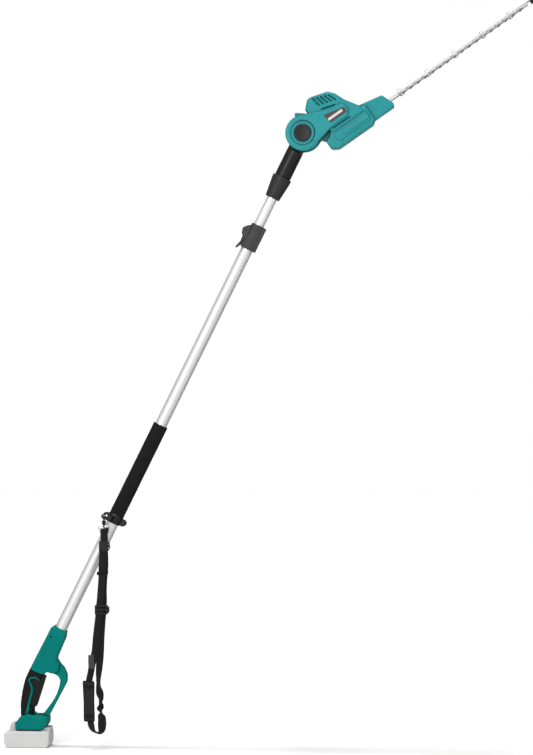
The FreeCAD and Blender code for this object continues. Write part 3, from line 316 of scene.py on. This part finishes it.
def satin_label(name, colour):
    """Satin-woven tab: long floats across it, a soft sheen."""
    surface = Surface(name, colour, 0.5, Specular_IOR_Level=0.35, Sheen_Weight=0.2, Sheen_Roughness=0.3)
    floats = surface.noise(1.0, 2, surface.stretched(surface.place, 700, 700, 4200))
    dark = [channel * 0.75 for channel in colour]
    light = [channel * 1.25 for channel in colour]
    surface.colour_from(surface.blend_colours(surface.spread(floats, 0.35, 0.65), dark, light))
    surface.bumped(floats, 0.00008)
    surface.roughness_from(surface.noise(90, 3), 0.3, 0.7, 0.42, 0.58)
    return surface.material


STRIPE_HALF_LENGTH = 0.021
STRIPE_HALF_HEIGHT = 0.0034
STRIPE_FADE = 0.0006


def badge_face(name, colour, pale):
    """Printed plate: dark, with one plain pale stripe along its middle."""
    plate = NODES["badge_plate"]
    low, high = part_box("badge_plate")
    middle = plate.matrix_world.inverted() @ ((low + high) / 2)
    surface = Surface(name, colour, 0.4, Specular_IOR_Level=0.2)
    surface.mottled(0.06, 60)
    inside = surface.add("VectorMath", {0: surface.place, 1: middle}, operation="SUBTRACT").outputs[0]
    flat = surface.add("SeparateXYZ", {0: surface.turned_about_y(inside, HEAD_RISE)}).outputs
    within = []
    for distance, half in ((flat[2], STRIPE_HALF_HEIGHT), (flat[0], STRIPE_HALF_LENGTH)):
        within.append(surface.spread(surface.math("ABSOLUTE", distance), half, half - STRIPE_FADE))
    stripe = surface.math("MULTIPLY", *within)
    surface.colour_from(surface.blend_colours(stripe, surface.painted, pale))
    surface.rounded(0.0005)
    surface.bumped(surface.noise(1800, 3), 0.00002)
    surface.roughness_from(surface.noise(60, 3), 0.3, 0.7, 0.35, 0.45)
    return surface.material


def wrap_sleeve(name, colour):
    """Shrink sleeve round the cells: glossy, slightly wrinkled."""
    surface = Surface(name, colour, 0.25)
    surface.mottled(0.1, 40)
    surface.bumped(surface.noise(260, 3), 0.00012)
    surface.roughness_from(surface.noise(120, 3), 0.3, 0.7, 0.2, 0.34)
    return surface.material


def floor_paper(name):
    """Pale matt backdrop paper, almost even in tone."""
    surface = Surface(name, (0.97, 0.97, 0.97), 0.9, Specular_IOR_Level=0.0)
    surface.mottled(0.004, 3)
    surface.bumped(surface.noise(900, 2), 0.00002)
    return surface.material


def dress(material, *names):
    """Puts one material on CAD nodes."""
    for name in names:
        mesh = NODES[name].data
        mesh.materials.clear()
        mesh.materials.append(material)


# One teal plastic painted at two brightnesses: the head's copy lighter as painted light, the handle's darker
# as painted shade.
LIT_HEAD_TEAL = (0.0045, 0.255, 0.268)
SHADED_HANDLE_TEAL = (0.0, 0.168, 0.148)
BLACK = (0.006, 0.0062, 0.0064)

black_plastic = moulded("black plastic", BLACK, 0.34, Specular_IOR_Level=0.3)
web_cloth = webbing("webbing", (0.0085, 0.0086, 0.0088))
keeper_cloth = webbing("elastic band", (0.0065, 0.0065, 0.0067), 1.3, 1.6)
pad_fabric = pad_cloth("pad cloth", (0.0155, 0.0155, 0.016))
binding = webbing("binding tape", (0.0075, 0.0075, 0.0078), 1.1, 1.4)
thread = satin_label("sewing thread", (0.03, 0.03, 0.031))
along_head = (HEAD_RISE, (24, 2700, 2700))


def dress_cad():
    # The head's teal is the lighter, painted-light copy; the handle's teal is the darker, painted-shade copy.
    dress(moulded("lit teal head shell", LIT_HEAD_TEAL, 0.36, lighter=1.2, edge=0.2, crease=0.02, soft=0.005,
                  Specular_IOR_Level=0.35), "head_shell_near", "head_shell_far")
    dress(moulded("shaded teal handle shell", SHADED_HANDLE_TEAL, 0.5, lighter=1.3, edge=0.2, crease=0.006,
                  Specular_IOR_Level=0.05), "handle_shell_near", "handle_shell_far")
    dress(rubber("soft grip", (0.006, 0.0063, 0.0061)), "grip_overmould")
    dress(black_plastic, "lock_off_button", "power_switch", "terminal_block", "strap_bracket", "tube_guide",
          "neck_adapter", "connector_plug", "cooling_fan", "tip_guard", "hook_swivel", "snap_hook",
          "strap_slider", "strap_buckle")
    dress(moulded("trigger plastic", (0.005, 0.007, 0.0068), 0.4, Specular_IOR_Level=0.18), "trigger")
    dress(moulded("clamp plastic", (0.046, 0.046, 0.047), 0.62, 0.7, 0.00008, Specular_IOR_Level=0.25),
          "clamp_body", "clamp_lever")
    dress(moulded("nut plastic", (0.019, 0.019, 0.0195), 0.45, 0.6, 0.00005, Specular_IOR_Level=0.3),
          "coupling_nut")
    dress(moulded("knob plastic", (0.018, 0.018, 0.0185), 0.42, Specular_IOR_Level=0.28),
          "joint_button", "joint_cap")
    dress(pale_case("battery case", (0.53, 0.53, 0.525)),
          "battery_case_lower", "battery_case_upper", "battery_button")
    dress(wrap_sleeve("cell sleeve", (0.02, 0.1, 0.2)), "battery_cells")
    dress(metal("blackened steel", (0.05, 0.05, 0.052), 0.45),
          "handle_screws", "head_screws", "bracket_screw", "clamp_pin")
    dress(metal("zinc steel", (0.55, 0.55, 0.54), 0.34), "trigger_pin", "trigger_spring", "button_springs",
          "index_ring", "pivot_bolt", "button_spring", "motor_can", "motor_rotor", "pinion", "gear_axle",
          "drive_gear", "hook_gate")
    dress(metal("bright zinc", (0.88, 0.88, 0.88), 0.38), "blade_bolts")
    dress(metal("polished rail", (0.8, 0.8, 0.805), 0.4, along_head), "blade_rail")
    dress(metal("ground steel", (0.9, 0.9, 0.905), 0.34, along_head), "upper_blade", "lower_blade")
    dress(metal("brass", (0.75, 0.52, 0.2), 0.3), "terminal_blades", "motor_bearings")
    dress(metal("cast aluminium", (0.5, 0.5, 0.5), 0.5, depth=0.00006), "gear_case")
    dress(metal("chrome wire", (0.82, 0.82, 0.83), 0.12, depth=0.000003), "strap_ring")
    dress(tube_metal("upper tube", (0.93, 0.93, 0.935), 0.34, 3), "upper_tube")
    dress(tube_metal("lower tube", (0.84, 0.84, 0.845), 0.4, 2), "lower_tube")
    dress(rubber("cable sheath", (0.02, 0.02, 0.02)), "spiral_cable")
    dress(badge_face("badge face", (0.085, 0.055, 0.056), (0.62, 0.6, 0.6)), "badge_plate")


# ---------------------------------------------------------------- mesh helpers
def new_object(name, mesh, material, body):
    piece = bpy.data.objects.new(name, mesh)
    bpy.context.scene.collection.objects.link(piece)
    mesh.materials.clear()
    mesh.materials.append(material)
    mesh.polygons.foreach_set("use_smooth", [True] * len(mesh.polygons))
    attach(piece, body)
    return piece


def mesh_from(name, verts, faces):
    mesh = bpy.data.meshes.new(name)
    mesh.from_pydata([tuple(v) for v in verts], [], faces)
    mesh.update()
    return mesh


def smooth_route(rows, steps):
    """A Catmull-Rom curve through every column of the rows, with `steps` samples a span."""
    table = np.array(rows, float)
    padded = np.vstack([2 * table[0] - table[1], table, 2 * table[-1] - table[-2]])
    samples = []
    for i in range(1, len(padded) - 2):
        before, here, after, beyond = padded[i - 1:i + 3]
        for t in np.arange(steps) / steps:
            bend = (2 * before - 5 * here + 4 * after - beyond) * t ** 2
            swing = (3 * here - before - 3 * after + beyond) * t ** 3
            samples.append(0.5 * (2 * here + (after - before) * t + bend + swing))
    samples.append(table[-1])
    return np.array(samples)


TAPE_SPANS = 14


def tape_section(width, thick, cup):
    """Points round a tape's section: (across, out), slightly cupped, with round selvedges."""
    outer, inner = [], []
    for k in range(TAPE_SPANS + 1):
        t = k / TAPE_SPANS * 2 - 1
        lift = cup * (1 - t * t) - cup / 2
        edge = math.sqrt(max(0.0, 1 - abs(t) ** 6))
        rise = thick / 2 * (0.35 + 0.65 * edge)
        outer.append((t * width / 2, lift + rise))
        inner.append((t * width / 2, lift - rise))
    return outer + inner[::-1]


def closing_shift(last, first):
    """How many points the first ring is turned against the last one, where a closed tape meets itself."""
    size = len(first)

    def gap(turn):
        return sum((last[k] - first[(k + turn) % size]).length for k in range(size))

    return min(range(size), key=gap)


def tape(name, rows, thick, material, steps=8, closed=False, side=(1, 0, 0)):
    """Webbing along rows of (x, y, z, width, turn in degrees, cup), all in millimetres."""
    samples = smooth_route(rows, steps)
    if closed:
        samples = samples[:-1]
    spine = [Vector(s[:3]) for s in samples]
    count = len(spine)
    side = Vector(side)
    rings, along, length = [], [], 0.0
    for i, here in enumerate(spine):
        ahead = spine[(i + 1) % count] if closed or i + 1 < count else here
        behind = spine[i - 1] if closed or i else here
        tangent = (ahead - behind).normalized()
        side = (side - tangent * side.dot(tangent)).normalized()
        width, turn, cup = samples[i][3:6]
        across = Matrix.Rotation(math.radians(turn), 3, tangent) @ side
        out = tangent.cross(across)
        rings.append([(here + across * a + out * b) * MM for a, b in tape_section(width, thick, cup)])
        length += (here - spine[i - 1]).length if i else 0.0
        along.append(length * MM)
    size = len(rings[0])
    verts = [point for ring in rings for point in ring]
    faces = [[i * size + k, i * size + (k + 1) % size, (i + 1) * size + (k + 1) % size, (i + 1) * size + k]
             for i in range(count - 1) for k in range(size)]
    if closed:
        shift = closing_shift(rings[-1], rings[0])
        faces += [[(count - 1) * size + k, (count - 1) * size + (k + 1) % size, (k + 1 + shift) % size,
                   (k + shift) % size] for k in range(size)]
    else:
        faces += [list(range(size))[::-1], [(count - 1) * size + k for k in range(size)]]
    mesh = mesh_from(name, verts, faces)
    layer = mesh.uv_layers.new(name="UVMap")
    half = size // 2
    for polygon in mesh.polygons:
        wraps = polygon.index >= (count - 1) * size
        for loop in polygon.loop_indices:
            vertex = mesh.loops[loop].vertex_index
            ring, k = divmod(vertex, size)
            u = length * MM if wraps and ring == 0 else along[ring]
            v = (k if k < half else size - 1 - k) / (half - 1) * rows[0][3] * MM
            layer.data[loop].uv = (u, v)
    return new_object(name, mesh, material, "strap")


THREAD_THICK = 0.42


def seam(name, places, normals, runs, long):
    """Stitches: small rounded threads, each lying along its run."""
    sides, verts, faces = 6, [], []
    profile = [(-0.5, 0.15), (-0.42, 0.75), (-0.2, 1.0), (0.2, 1.0), (0.42, 0.75), (0.5, 0.15)]
    for place, normal, run in zip(places, normals, runs):
        run = run.normalized()
        normal = (normal - run * normal.dot(run)).normalized()
        across = run.cross(normal)
        base = len(verts)
        for step, share in profile:
            for k in range(sides):
                angle = 2 * math.pi * k / sides
                offset = across * math.cos(angle) + normal * math.sin(angle)
                verts.append((place + run * (step * long) + offset * (THREAD_THICK / 2 * share)) * MM)
        for ring in range(len(profile) - 1):
            for k in range(sides):
                one, two = base + ring * sides + k, base + ring * sides + (k + 1) % sides
                faces.append([one, two, two + sides, one + sides])
        faces.append([base + k for k in range(sides)][::-1])
        faces.append([base + (len(profile) - 1) * sides + k for k in range(sides)])
    return new_object(name, mesh_from(name, verts, faces), thread, "strap")


def lathe(name, profile, centre, axis, around, material, body):
    """A closed skin turned about an axis, from (radius, place along) points in millimetres."""
    axis = axis.normalized()
    first = axis.orthogonal().normalized()
    second = axis.cross(first)
    verts, faces = [], []
    for r, s in profile:
        for k in range(around):
            angle = 2 * math.pi * k / around
            verts.append((centre + axis * s + (first * math.cos(angle) + second * math.sin(angle)) * r) * MM)
    rings = len(profile)
    for i in range(rings):
        for k in range(around):
            one, two = i * around, ((i + 1) % rings) * around
            faces.append([one + k, one + (k + 1) % around, two + (k + 1) % around, two + k])
    mesh = mesh_from(name, verts, faces)
    recalculated = bmesh.new()
    recalculated.from_mesh(mesh)
    bmesh.ops.recalc_face_normals(recalculated, faces=recalculated.faces)
    recalculated.to_mesh(mesh)
    recalculated.free()
    return new_object(name, mesh, material, body)


# ---------------------------------------------------------------- rivet of the strap's plate
RIVET_PLACE = (203.2, 583.2)


def rivet_cap():
    """The bright domed head of the rivet, on the plate that the strap hangs from."""
    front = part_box("bracket_screw")[0].y / MM
    centre = Vector((RIVET_PLACE[0], front, RIVET_PLACE[1]))
    profile = [(0.05, -0.35), (1.2, -0.28), (2.2, 0.05), (2.9, 0.6), (3.15, 1.1), (3.15, 1.5), (0.05, 1.5)]
    lathe("rivet_cap", profile, centre, Vector((0, 1, 0)), 36, metal("bright rivet", (0.8, 0.8, 0.8), 0.25),
          "handle")


# ---------------------------------------------------------------- foam sleeve
FOAM_BORE = 15.1
FOAM_HEAD_LIP = 2.4
FOAM_FOOT_LIP = 1.2
FOAM_SPANS = 60
LIP_STEPS = 5


def rolled(lip, step):
    """How far in from the side, and back from the end, a rolled lip lies at one of its steps."""
    angle = math.pi / 2 * step / LIP_STEPS
    return lip * (1 - math.sin(angle)), lip * (1 - math.cos(angle))


def foam_sleeve():
    """The fore grip: a foam sleeve with rolled lips, slightly uneven as foam is."""
    low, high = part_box("foam_grip")
    centre = (low + high) / 2 / MM
    outer = (high.y - low.y) / 2 / MM
    half = ((high.z - low.z) / MM - 2 * outer * math.sin(POLE_LEAN)) / math.cos(POLE_LEAN) / 2
    profile = [(FOAM_BORE, -half), (outer - FOAM_FOOT_LIP, -half)]
    for k in range(1, LIP_STEPS + 1):
        inward, back = rolled(FOAM_FOOT_LIP, k)
        profile.append((outer - inward, back - half))
    for k in range(1, FOAM_SPANS):
        s = -half + FOAM_HEAD_LIP + (2 * half - 2 * FOAM_HEAD_LIP) * k / FOAM_SPANS
        wave = 0.08 * math.sin(s * 0.11) + 0.064 * math.sin(s * 0.37 + 1.0)
        profile.append((outer - 0.15 + wave, s))
    for k in range(LIP_STEPS, -1, -1):
        inward, back = rolled(FOAM_HEAD_LIP, k)
        profile.append((outer - inward, half - back))
    profile.append((FOAM_BORE, half))
    sleeve = lathe("foam_sleeve", profile, centre, POLE_AXIS, 72, foam("foam", (0.009, 0.0091, 0.0092)),
                   "handle")
    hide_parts("foam_grip")


# ---------------------------------------------------------------- carrying strap
TAPE_THICK = 1.6
STRAP_Y = -36.0
KEEPER_X = 194.2
KEEPER_Z = 439.7
KEEPER_WIDTH = 8.5
BAND_STEPS = 16
# One closed loop of webbing: over the ring's foot, down in front to the pad, round the low loop, up through
# its twists and back behind. Rows are (x, y, z, width, turn in degrees, cup).
STRAP_ROUTE = [
    (196.3, -36.0, 550.2, 22, 0, 0),
    (196.6, -38.4, 547.9, 22.5, 0, 0.2),
    (196.7, -38.4, 541.7, 20, -2, 0.6),
    (196.6, -38.1, 534.7, 17.8, -4, 0.9),
    (197.0, -37.6, 522.7, 19, -3, 0.6),
    (194.9, -37.3, 506.7, 19.5, 0, 0.4),
    (192.6, -37.5, 458.7, 20.5, 5, 0.6),
    (191.2, -37.6, 428.7, 19, 10, 0.8),
    (189.4, -37.6, 400.7, 19, 8, 0.6),
    (187.2, -37.4, 371.7, 19, 4, 0.4),
    (185.2, -37.3, 348.7, 19, 0, 0.3),
    (182.8, -37.6, 321.7, 19, -4, 0.5),
    (178.2, -37.8, 281.7, 19, -8, 0.7),
    (174.2, -37.7, 243.7, 18, -6, 0.5),
    (167.2, -37.4, 215.7, 18, 0, 0.3),
    (163.8, -37.0, 193.7, 17, 6, 0.5),
    (159.2, -36.3, 171.7, 17, 0, 0.3),
    (158.2, -36.0, 143.7, 18, 0, 0.2),
    (159.2, -36.0, 98.7, 18, 0, 0.2),
    (162.0, -36.0, 71.7, 17, 5, 0.4),
    (164.2, -36.0, 57.7, 18, 15, 1.0),
    (168.6, -36.0, 47.2, 18, 38, 1.6),
    (177.1, -35.6, 41.1, 17, 60, 1.8),
    (185.6, -35.2, 40.3, 18, 46, 1.8),
    (190.6, -35.0, 47.7, 20, 24, 1.2),
    (191.5, -35.0, 61.7, 21, 4, 0.6),
    (191.0, -35.0, 76.7, 20, -4, 0.8),
    (188.8, -35.0, 88.7, 18, 62, 6.5),
    (187.0, -35.0, 101.7, 17.5, 160, 3.4),
    (187.2, -35.0, 115.7, 17, 262, 6.8),
    (186.3, -35.0, 135.7, 18.5, 345, 2.4),
    (183.8, -35.0, 155.7, 18, 406, 4.2),
    (183.0, -34.9, 171.7, 18, 408, 1.8),
    (183.4, -34.7, 189.7, 18, 392, 1.2),
    (184.8, -34.5, 210.7, 18, 372, 0.8),
    (186.6, -34.4, 239.7, 18.5, 360, 0.6),
    (188.2, -34.3, 281.7, 18.5, 356, 0.6),
    (190.8, -34.5, 321.7, 19, 358, 0.5),
    (193.0, -34.7, 348.7, 19, 360, 0.3),
    (194.0, -34.6, 371.7, 19, 360, 0.4),
    (193.6, -34.3, 400.7, 19, 354, 0.6),
    (195.0, -34.3, 428.7, 19, 354, 0.7),
    (197.0, -34.4, 458.7, 20, 358, 0.6),
    (196.0, -34.7, 506.7, 19.5, 360, 0.4),
    (197.0, -34.3, 522.7, 18.5, 363, 0.6),
    (196.6, -33.9, 534.7, 17.8, 364, 0.8),
    (196.7, -33.6, 541.7, 20, 362, 0.5),
    (196.6, -33.6, 547.9, 22.5, 360, 0.2),
    (196.6, -36.0, 550.3, 22, 360, 0),
]


def strap_tape():
    """The strap's webbing, in one closed loop."""
    web = tape("strap_web", STRAP_ROUTE, TAPE_THICK, web_cloth, closed=True)
    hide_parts("strap_webbing")


def power(value, exponent):
    """A power that keeps the sign."""
    return math.copysign(abs(value) ** exponent, value)


def band(name, centre, reach, depth, corners, width, thick, slope=0.0):
    """Elastic sewn round a flat bundle. Its section is a box with soft corners, from two exponents."""
    rows = []
    for k in range(BAND_STEPS + 1):
        angle = 2 * math.pi * k / BAND_STEPS
        x = centre.x + reach * power(math.cos(angle), corners[0])
        y = centre.y + depth * power(math.sin(angle), corners[1])
        rows.append((x, y, centre.z + slope * (x - centre.x), width, 90, 0))
    tape(name, rows, thick, keeper_cloth, steps=4, closed=True)


def keeper():
    """A short elastic band that holds the two runs together, its sewn end standing out at the left."""
    middle = Vector((KEEPER_X, STRAP_Y - 0.1, KEEPER_Z + 0.02))
    band("strap_keeper", middle, 12.4, 3.9, (0.5, 0.6), KEEPER_WIDTH, 1.1, slope=0.1)
    end = [(186.1, -40.2, KEEPER_Z - 0.8, KEEPER_WIDTH, 0, 0), (182.6, -40.6, KEEPER_Z - 1.0, 8.3, 0, 0),
           (179.2, -39.6, KEEPER_Z - 1.2, 7.6, 0, 0)]
    tape("keeper_end", end, 1.8, keeper_cloth, side=(0, 0, 1))
    row_seam("keeper_stitches", [((185.1, KEEPER_Z - 3.4), (185.1, KEEPER_Z + 2.6)),
                                 ((182.8, KEEPER_Z - 3.6), (182.8, KEEPER_Z + 2.2))], -41.4, 1.8)


def row_seam(name, runs, y, pitch):
    """Straight stitch rows on a face towards -Y; each run goes from one (x, z) to another."""
    places, ways = [], []
    for first, last in runs:
        start, end = Vector((first[0], y, first[1])), Vector((last[0], y, last[1]))
        count = max(2, round((end - start).length / pitch))
        for k in range(count):
            places.append(start.lerp(end, (k + 0.5) / count))
            ways.append(end - start)
    normals = [Vector((0, -1, 0))] * len(places)
    seam(name, places, normals, ways, pitch * 0.72)


def bar_tacks():
    """Stitch rows that close the loop under the ring and hold the label."""
    top = [((189.2, z), (204.0, z)) for z in (527.2, 530.2, 533.2)]
    row_seam("ring_tack", top, -39.45, 2.3)
    low = [((158.2 + dx, z), (171.6 + dx, z)) for z, dx in ((203.3, 0.4), (232.3, -0.4))]
    row_seam("label_tack", low, -39.95, 1.9)


# ---------------------------------------------------------------- shoulder pad
PAD_CORNERS = [(143.7, 170.2), (171.2, 168.9), (172.0, 68.3), (146.8, 69.1)]
PAD_BANDS = (155.7, 82.2)
PAD_HALF = 3.3
PAD_RISE = 1.9
BAND_WIDTH = 9.0
BINDING_HALF_WIDTH = 1.25
BINDING_HALF_DEPTH = 3.9
PUFF_FRAMES = 20
PUFF_HELD_RIM = 4.2
PUFF_HELD_BAND = 2.6


def pad_outline(inset, count=26):
    """The pad's outline in the XZ plane, its sides drawn in a little between rounded corners."""
    corners = [Vector(corner) for corner in PAD_CORNERS]
    middle = sum(corners, Vector((0, 0))) / 4
    points = []
    for i, here in enumerate(corners):
        after = corners[(i + 1) % 4]
        steps = count if i % 2 else count // 3
        for k in range(steps):
            t = k / steps
            point = here.lerp(after, t)
            near = min(t, 1 - t) * steps
            pull = 0.8 * math.sin(math.pi * t) + (1.3 if near < 0.5 else 0.0)
            points.append(point + (middle - point).normalized() * (pull + inset))
    return points


def puffed(piece):
    """Blows the pad up a little between its seams, as its foam does, by a short cloth run."""
    rest = np.empty(len(piece.data.vertices) * 3)
    piece.data.vertices.foreach_get("co", rest)
    rest = rest.reshape(-1, 3)
    rim = np.array([(p.x, p.y) for p in pad_outline(0.0)]) * MM
    held = piece.vertex_groups.new(name="held")
    for i, place in enumerate(rest):
        beside = np.hypot(rim[:, 0] - place[0], rim[:, 1] - place[2]).min() < PUFF_HELD_RIM * MM
        banded = any(abs(place[2] / MM - z) < PUFF_HELD_BAND for z in PAD_BANDS)
        if beside or banded:
            held.add([i], 1.0, "REPLACE")
    cloth = piece.modifiers.new("puff", "CLOTH")
    cloth.settings.quality = 6
    cloth.settings.mass = 0.2
    cloth.settings.tension_stiffness = 12
    cloth.settings.compression_stiffness = 12
    cloth.settings.bending_stiffness = 0.4
    cloth.settings.vertex_group_mass = "held"
    cloth.settings.use_pressure = True
    cloth.settings.uniform_pressure_force = 4.0
    cloth.settings.effector_weights.gravity = 0.0
    cloth.point_cache.frame_start, cloth.point_cache.frame_end = 1, PUFF_FRAMES
    scene = bpy.context.scene
    for frame_number in range(1, PUFF_FRAMES + 1):
        scene.frame_set(frame_number)
    shaped = piece.evaluated_get(bpy.context.evaluated_depsgraph_get()).to_mesh()
    moved = np.empty(len(shaped.vertices) * 3)
    shaped.vertices.foreach_get("co", moved)
    moved = moved.reshape(-1, 3)
    piece.modifiers.remove(cloth)
    scene.frame_set(1)
    step = moved - rest
    length = np.maximum(np.linalg.norm(step, axis=1), 1e-9)
    limit = np.minimum(length, PAD_RISE * MM) / length
    piece.data.vertices.foreach_set("co", (rest + step * limit[:, None]).ravel())
    piece.data.update()


def shoulder_pad():
    """A soft pad over the webbing: remeshed evenly, blown up between its seams, then edged."""
    rim = pad_outline(0.6)
    count = len(rim)
    verts = [(p.x * MM, (STRAP_Y + y) * MM, p.y * MM) for y in (-PAD_HALF, PAD_HALF) for p in rim]
    faces = [list(range(count)), list(range(count, 2 * count))[::-1]]
    faces += [[k, k + count, (k + 1) % count + count, (k + 1) % count] for k in range(count)]
    piece = new_object("pad", mesh_from("pad", verts, faces), pad_fabric, "strap")
    grid = piece.modifiers.new("grid", "REMESH")
    grid.mode = "VOXEL"
    grid.voxel_size = 0.0024
    body = bpy.data.meshes.new_from_object(piece.evaluated_get(bpy.context.evaluated_depsgraph_get()))
    piece.modifiers.remove(grid)
    piece.data = body
    puffed(piece)
    body.materials.clear()
    body.materials.append(pad_fabric)
    body.polygons.foreach_set("use_smooth", [True] * len(body.polygons))
    soft = piece.modifiers.new("soft", "SUBSURF")
    soft.levels = soft.render_levels = 1
    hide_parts("shoulder_pad")
    pad_edging()


def pad_edging():
    """Bound edge round the pad, two stitched cross bands and a row of stitches inside the edge."""
    pad_binding()
    for number, z in enumerate(PAD_BANDS):
        drop = PAD_CORNERS[0][1] - z
        left, right = 144.0 + drop * 0.031, 171.5 + drop * 0.008
        middle = Vector(((left + right) / 2, STRAP_Y, z))
        band("pad_band_%d" % number, middle, (right - left) / 2 + 0.4, 4.6, (0.45, 0.5), BAND_WIDTH, 1.0)
        row_seam("band_stitches_%d" % number,
                 [((left + 1.5, z + dz), (right - 1.5, z + dz)) for dz in (-3.2, 3.2)], -41.15, 2.2)
    places = [Vector((p.x, STRAP_Y - PAD_HALF - 0.35, p.y)) for p in pad_outline(3.4)]
    ways = [places[(i + 1) % len(places)] - places[i - 1] for i in range(len(places))]
    front = [Vector((0, -1, 0))] * len(places)
    seam("pad_stitches", places, front, ways, 2.2)


def pad_binding():
    """Tape folded over the pad's edge: an oval bead, deeper than it is wide."""
    rim = [Vector((p.x, STRAP_Y, p.y)) for p in pad_outline(0.2)]
    count, sides = len(rim), 10
    verts, faces = [], []
    for i, place in enumerate(rim):
        out = (rim[(i + 1) % count] - rim[i - 1]).normalized().cross(Vector((0, 1, 0)))
        for k in range(sides):
            angle = 2 * math.pi * k / sides
            offset = out * (BINDING_HALF_WIDTH * math.cos(angle))
            offset.y += BINDING_HALF_DEPTH * math.sin(angle)
            verts.append((place + offset) * MM)
            one, two = i * sides + k, i * sides + (k + 1) % sides
            after, beyond = ((i + 1) % count) * sides + k, ((i + 1) % count) * sides + (k + 1) % sides
            faces.append([one, two, beyond, after])
    new_object("pad_binding", mesh_from("pad_binding", verts, faces), binding, "strap")


def label_tab():
    """A doubled satin tab sewn over the strap, a little bowed."""
    rows = [(164.3, -38.9, 235.1, 14.4, 0, 0.2), (164.5, -39.1, 225.7, 14.9, 0, 0.5),
            (164.9, -39.3, 212.7, 15.2, 0, 0.6), (165.3, -38.9, 200.6, 15.2, 0, 0.3)]
    satin = satin_label("satin tab", (0.034, 0.034, 0.035))
    tab = tape("label_tab", rows, 1.1, satin)
    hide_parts("strap_label")


# ---------------------------------------------------------------- stage
AIM_SHIFT = Vector((-0.0053, 0.0, -0.0061))
CAMERA_YAW = math.radians(5.0)
CAMERA_AWAY = 6.0
CAMERA_LENS = 114.6
FLOOR_RADIUS = 14
ROOM_DIMMEST = 0.22
SUN_STRENGTH = 1.35
STRIP_POWER = 38
STRIP_PLACE = Vector((-1.2, -3.2, 1.1))


def camera():
    """Level, slightly towards the blade's end, from far enough to flatten the perspective."""
    low, high = cad_box
    aim = (low + high) / 2 + AIM_SHIFT
    aim.y = 0.0
    data = bpy.data.cameras.new("camera")
    data.lens = CAMERA_LENS
    data.clip_end = 100
    eye = bpy.data.objects.new("camera", data)
    bpy.context.scene.collection.objects.link(eye)
    back = Vector((math.sin(CAMERA_YAW), -math.cos(CAMERA_YAW), 0))
    eye.location = aim + back * CAMERA_AWAY
    eye.rotation_euler = (-back).to_track_quat("-Z", "Y").to_euler()
    bpy.context.scene.camera = eye


def floor():
    ring = bmesh.new()
    bmesh.ops.create_circle(ring, cap_ends=True, radius=FLOOR_RADIUS, segments=96)
    mesh = bpy.data.meshes.new("floor")
    ring.to_mesh(mesh)
    ring.free()
    mesh.materials.append(floor_paper("floor paper"))
    ground = bpy.data.objects.new("floor", mesh)
    ground.location.z = cad_box[0].z
    ground.visible_glossy = False
    bpy.context.scene.collection.objects.link(ground)


def light(name, kind, energy, location, target, **settings):
    data = bpy.data.lights.new(name, kind)
    data.energy = energy
    for key, value in settings.items():
        setattr(data, key, value)
    lamp = bpy.data.objects.new(name, data)
    lamp.location = location
    lamp.rotation_euler = (Vector(target) - Vector(location)).to_track_quat("-Z", "Y").to_euler()
    bpy.context.scene.collection.objects.link(lamp)


def studio():
    """A white room, brighter in front and above, with a soft overhead light and a tall front strip."""
    world = bpy.data.worlds.new("studio")
    bpy.context.scene.world = world
    world.use_nodes = True
    tree = world.node_tree
    tree.nodes.clear()

    def add(kind, inputs=None, **settings):
        node = tree.nodes.new("ShaderNode" + kind)
        for name, value in settings.items():
            setattr(node, name, value)
        for name, value in (inputs or {}).items():
            if isinstance(value, bpy.types.NodeSocket):
                tree.links.new(value, node.inputs[name])
            else:
                node.inputs[name].default_value = value
        return node

    way = add("SeparateXYZ", {0: add("TexCoord").outputs["Generated"]}).outputs

    def glow(value, start, end, most):
        """Brighter from one height or depth of the room to another."""
        return add("MapRange", {"Value": value, "From Min": start, "From Max": end, "To Min": 0.0,
                                "To Max": most}, interpolation_type="SMOOTHSTEP").outputs[0]

    front = glow(way[1], 0.25, -0.75, 0.6)
    above = glow(way[2], 0.0, 0.9, 0.25)
    lit = add("Math", {0: front, 1: above}, operation="ADD").outputs[0]
    strength = add("Math", {0: lit, 1: ROOM_DIMMEST}, operation="ADD").outputs[0]
    room = add("Background", {"Color": (1, 1, 1, 1), "Strength": strength}).outputs[0]
    seen = add("Background", {"Color": (1, 1, 1, 1), "Strength": 1.0}).outputs[0]
    camera_ray = add("LightPath").outputs["Is Camera Ray"]
    mixed = add("MixShader", {0: camera_ray, 1: room, 2: seen}).outputs[0]
    add("OutputWorld", {0: mixed})
    centre = (cad_box[0] + cad_box[1]) / 2
    light("overhead", "SUN", SUN_STRENGTH, (0, 0, 5), (0, 0, 0), angle=math.radians(5))
    light("front strip", "AREA", STRIP_POWER, centre + STRIP_PLACE, centre,
          shape="RECTANGLE", size=0.35, size_y=2.2)
    bpy.context.scene.view_settings.view_transform = "Standard"


dress_cad()
camera()
rivet_cap()
foam_sleeve()
strap_tape()
keeper()
bar_tacks()
shoulder_pad()
label_tab()
floor()
studio()
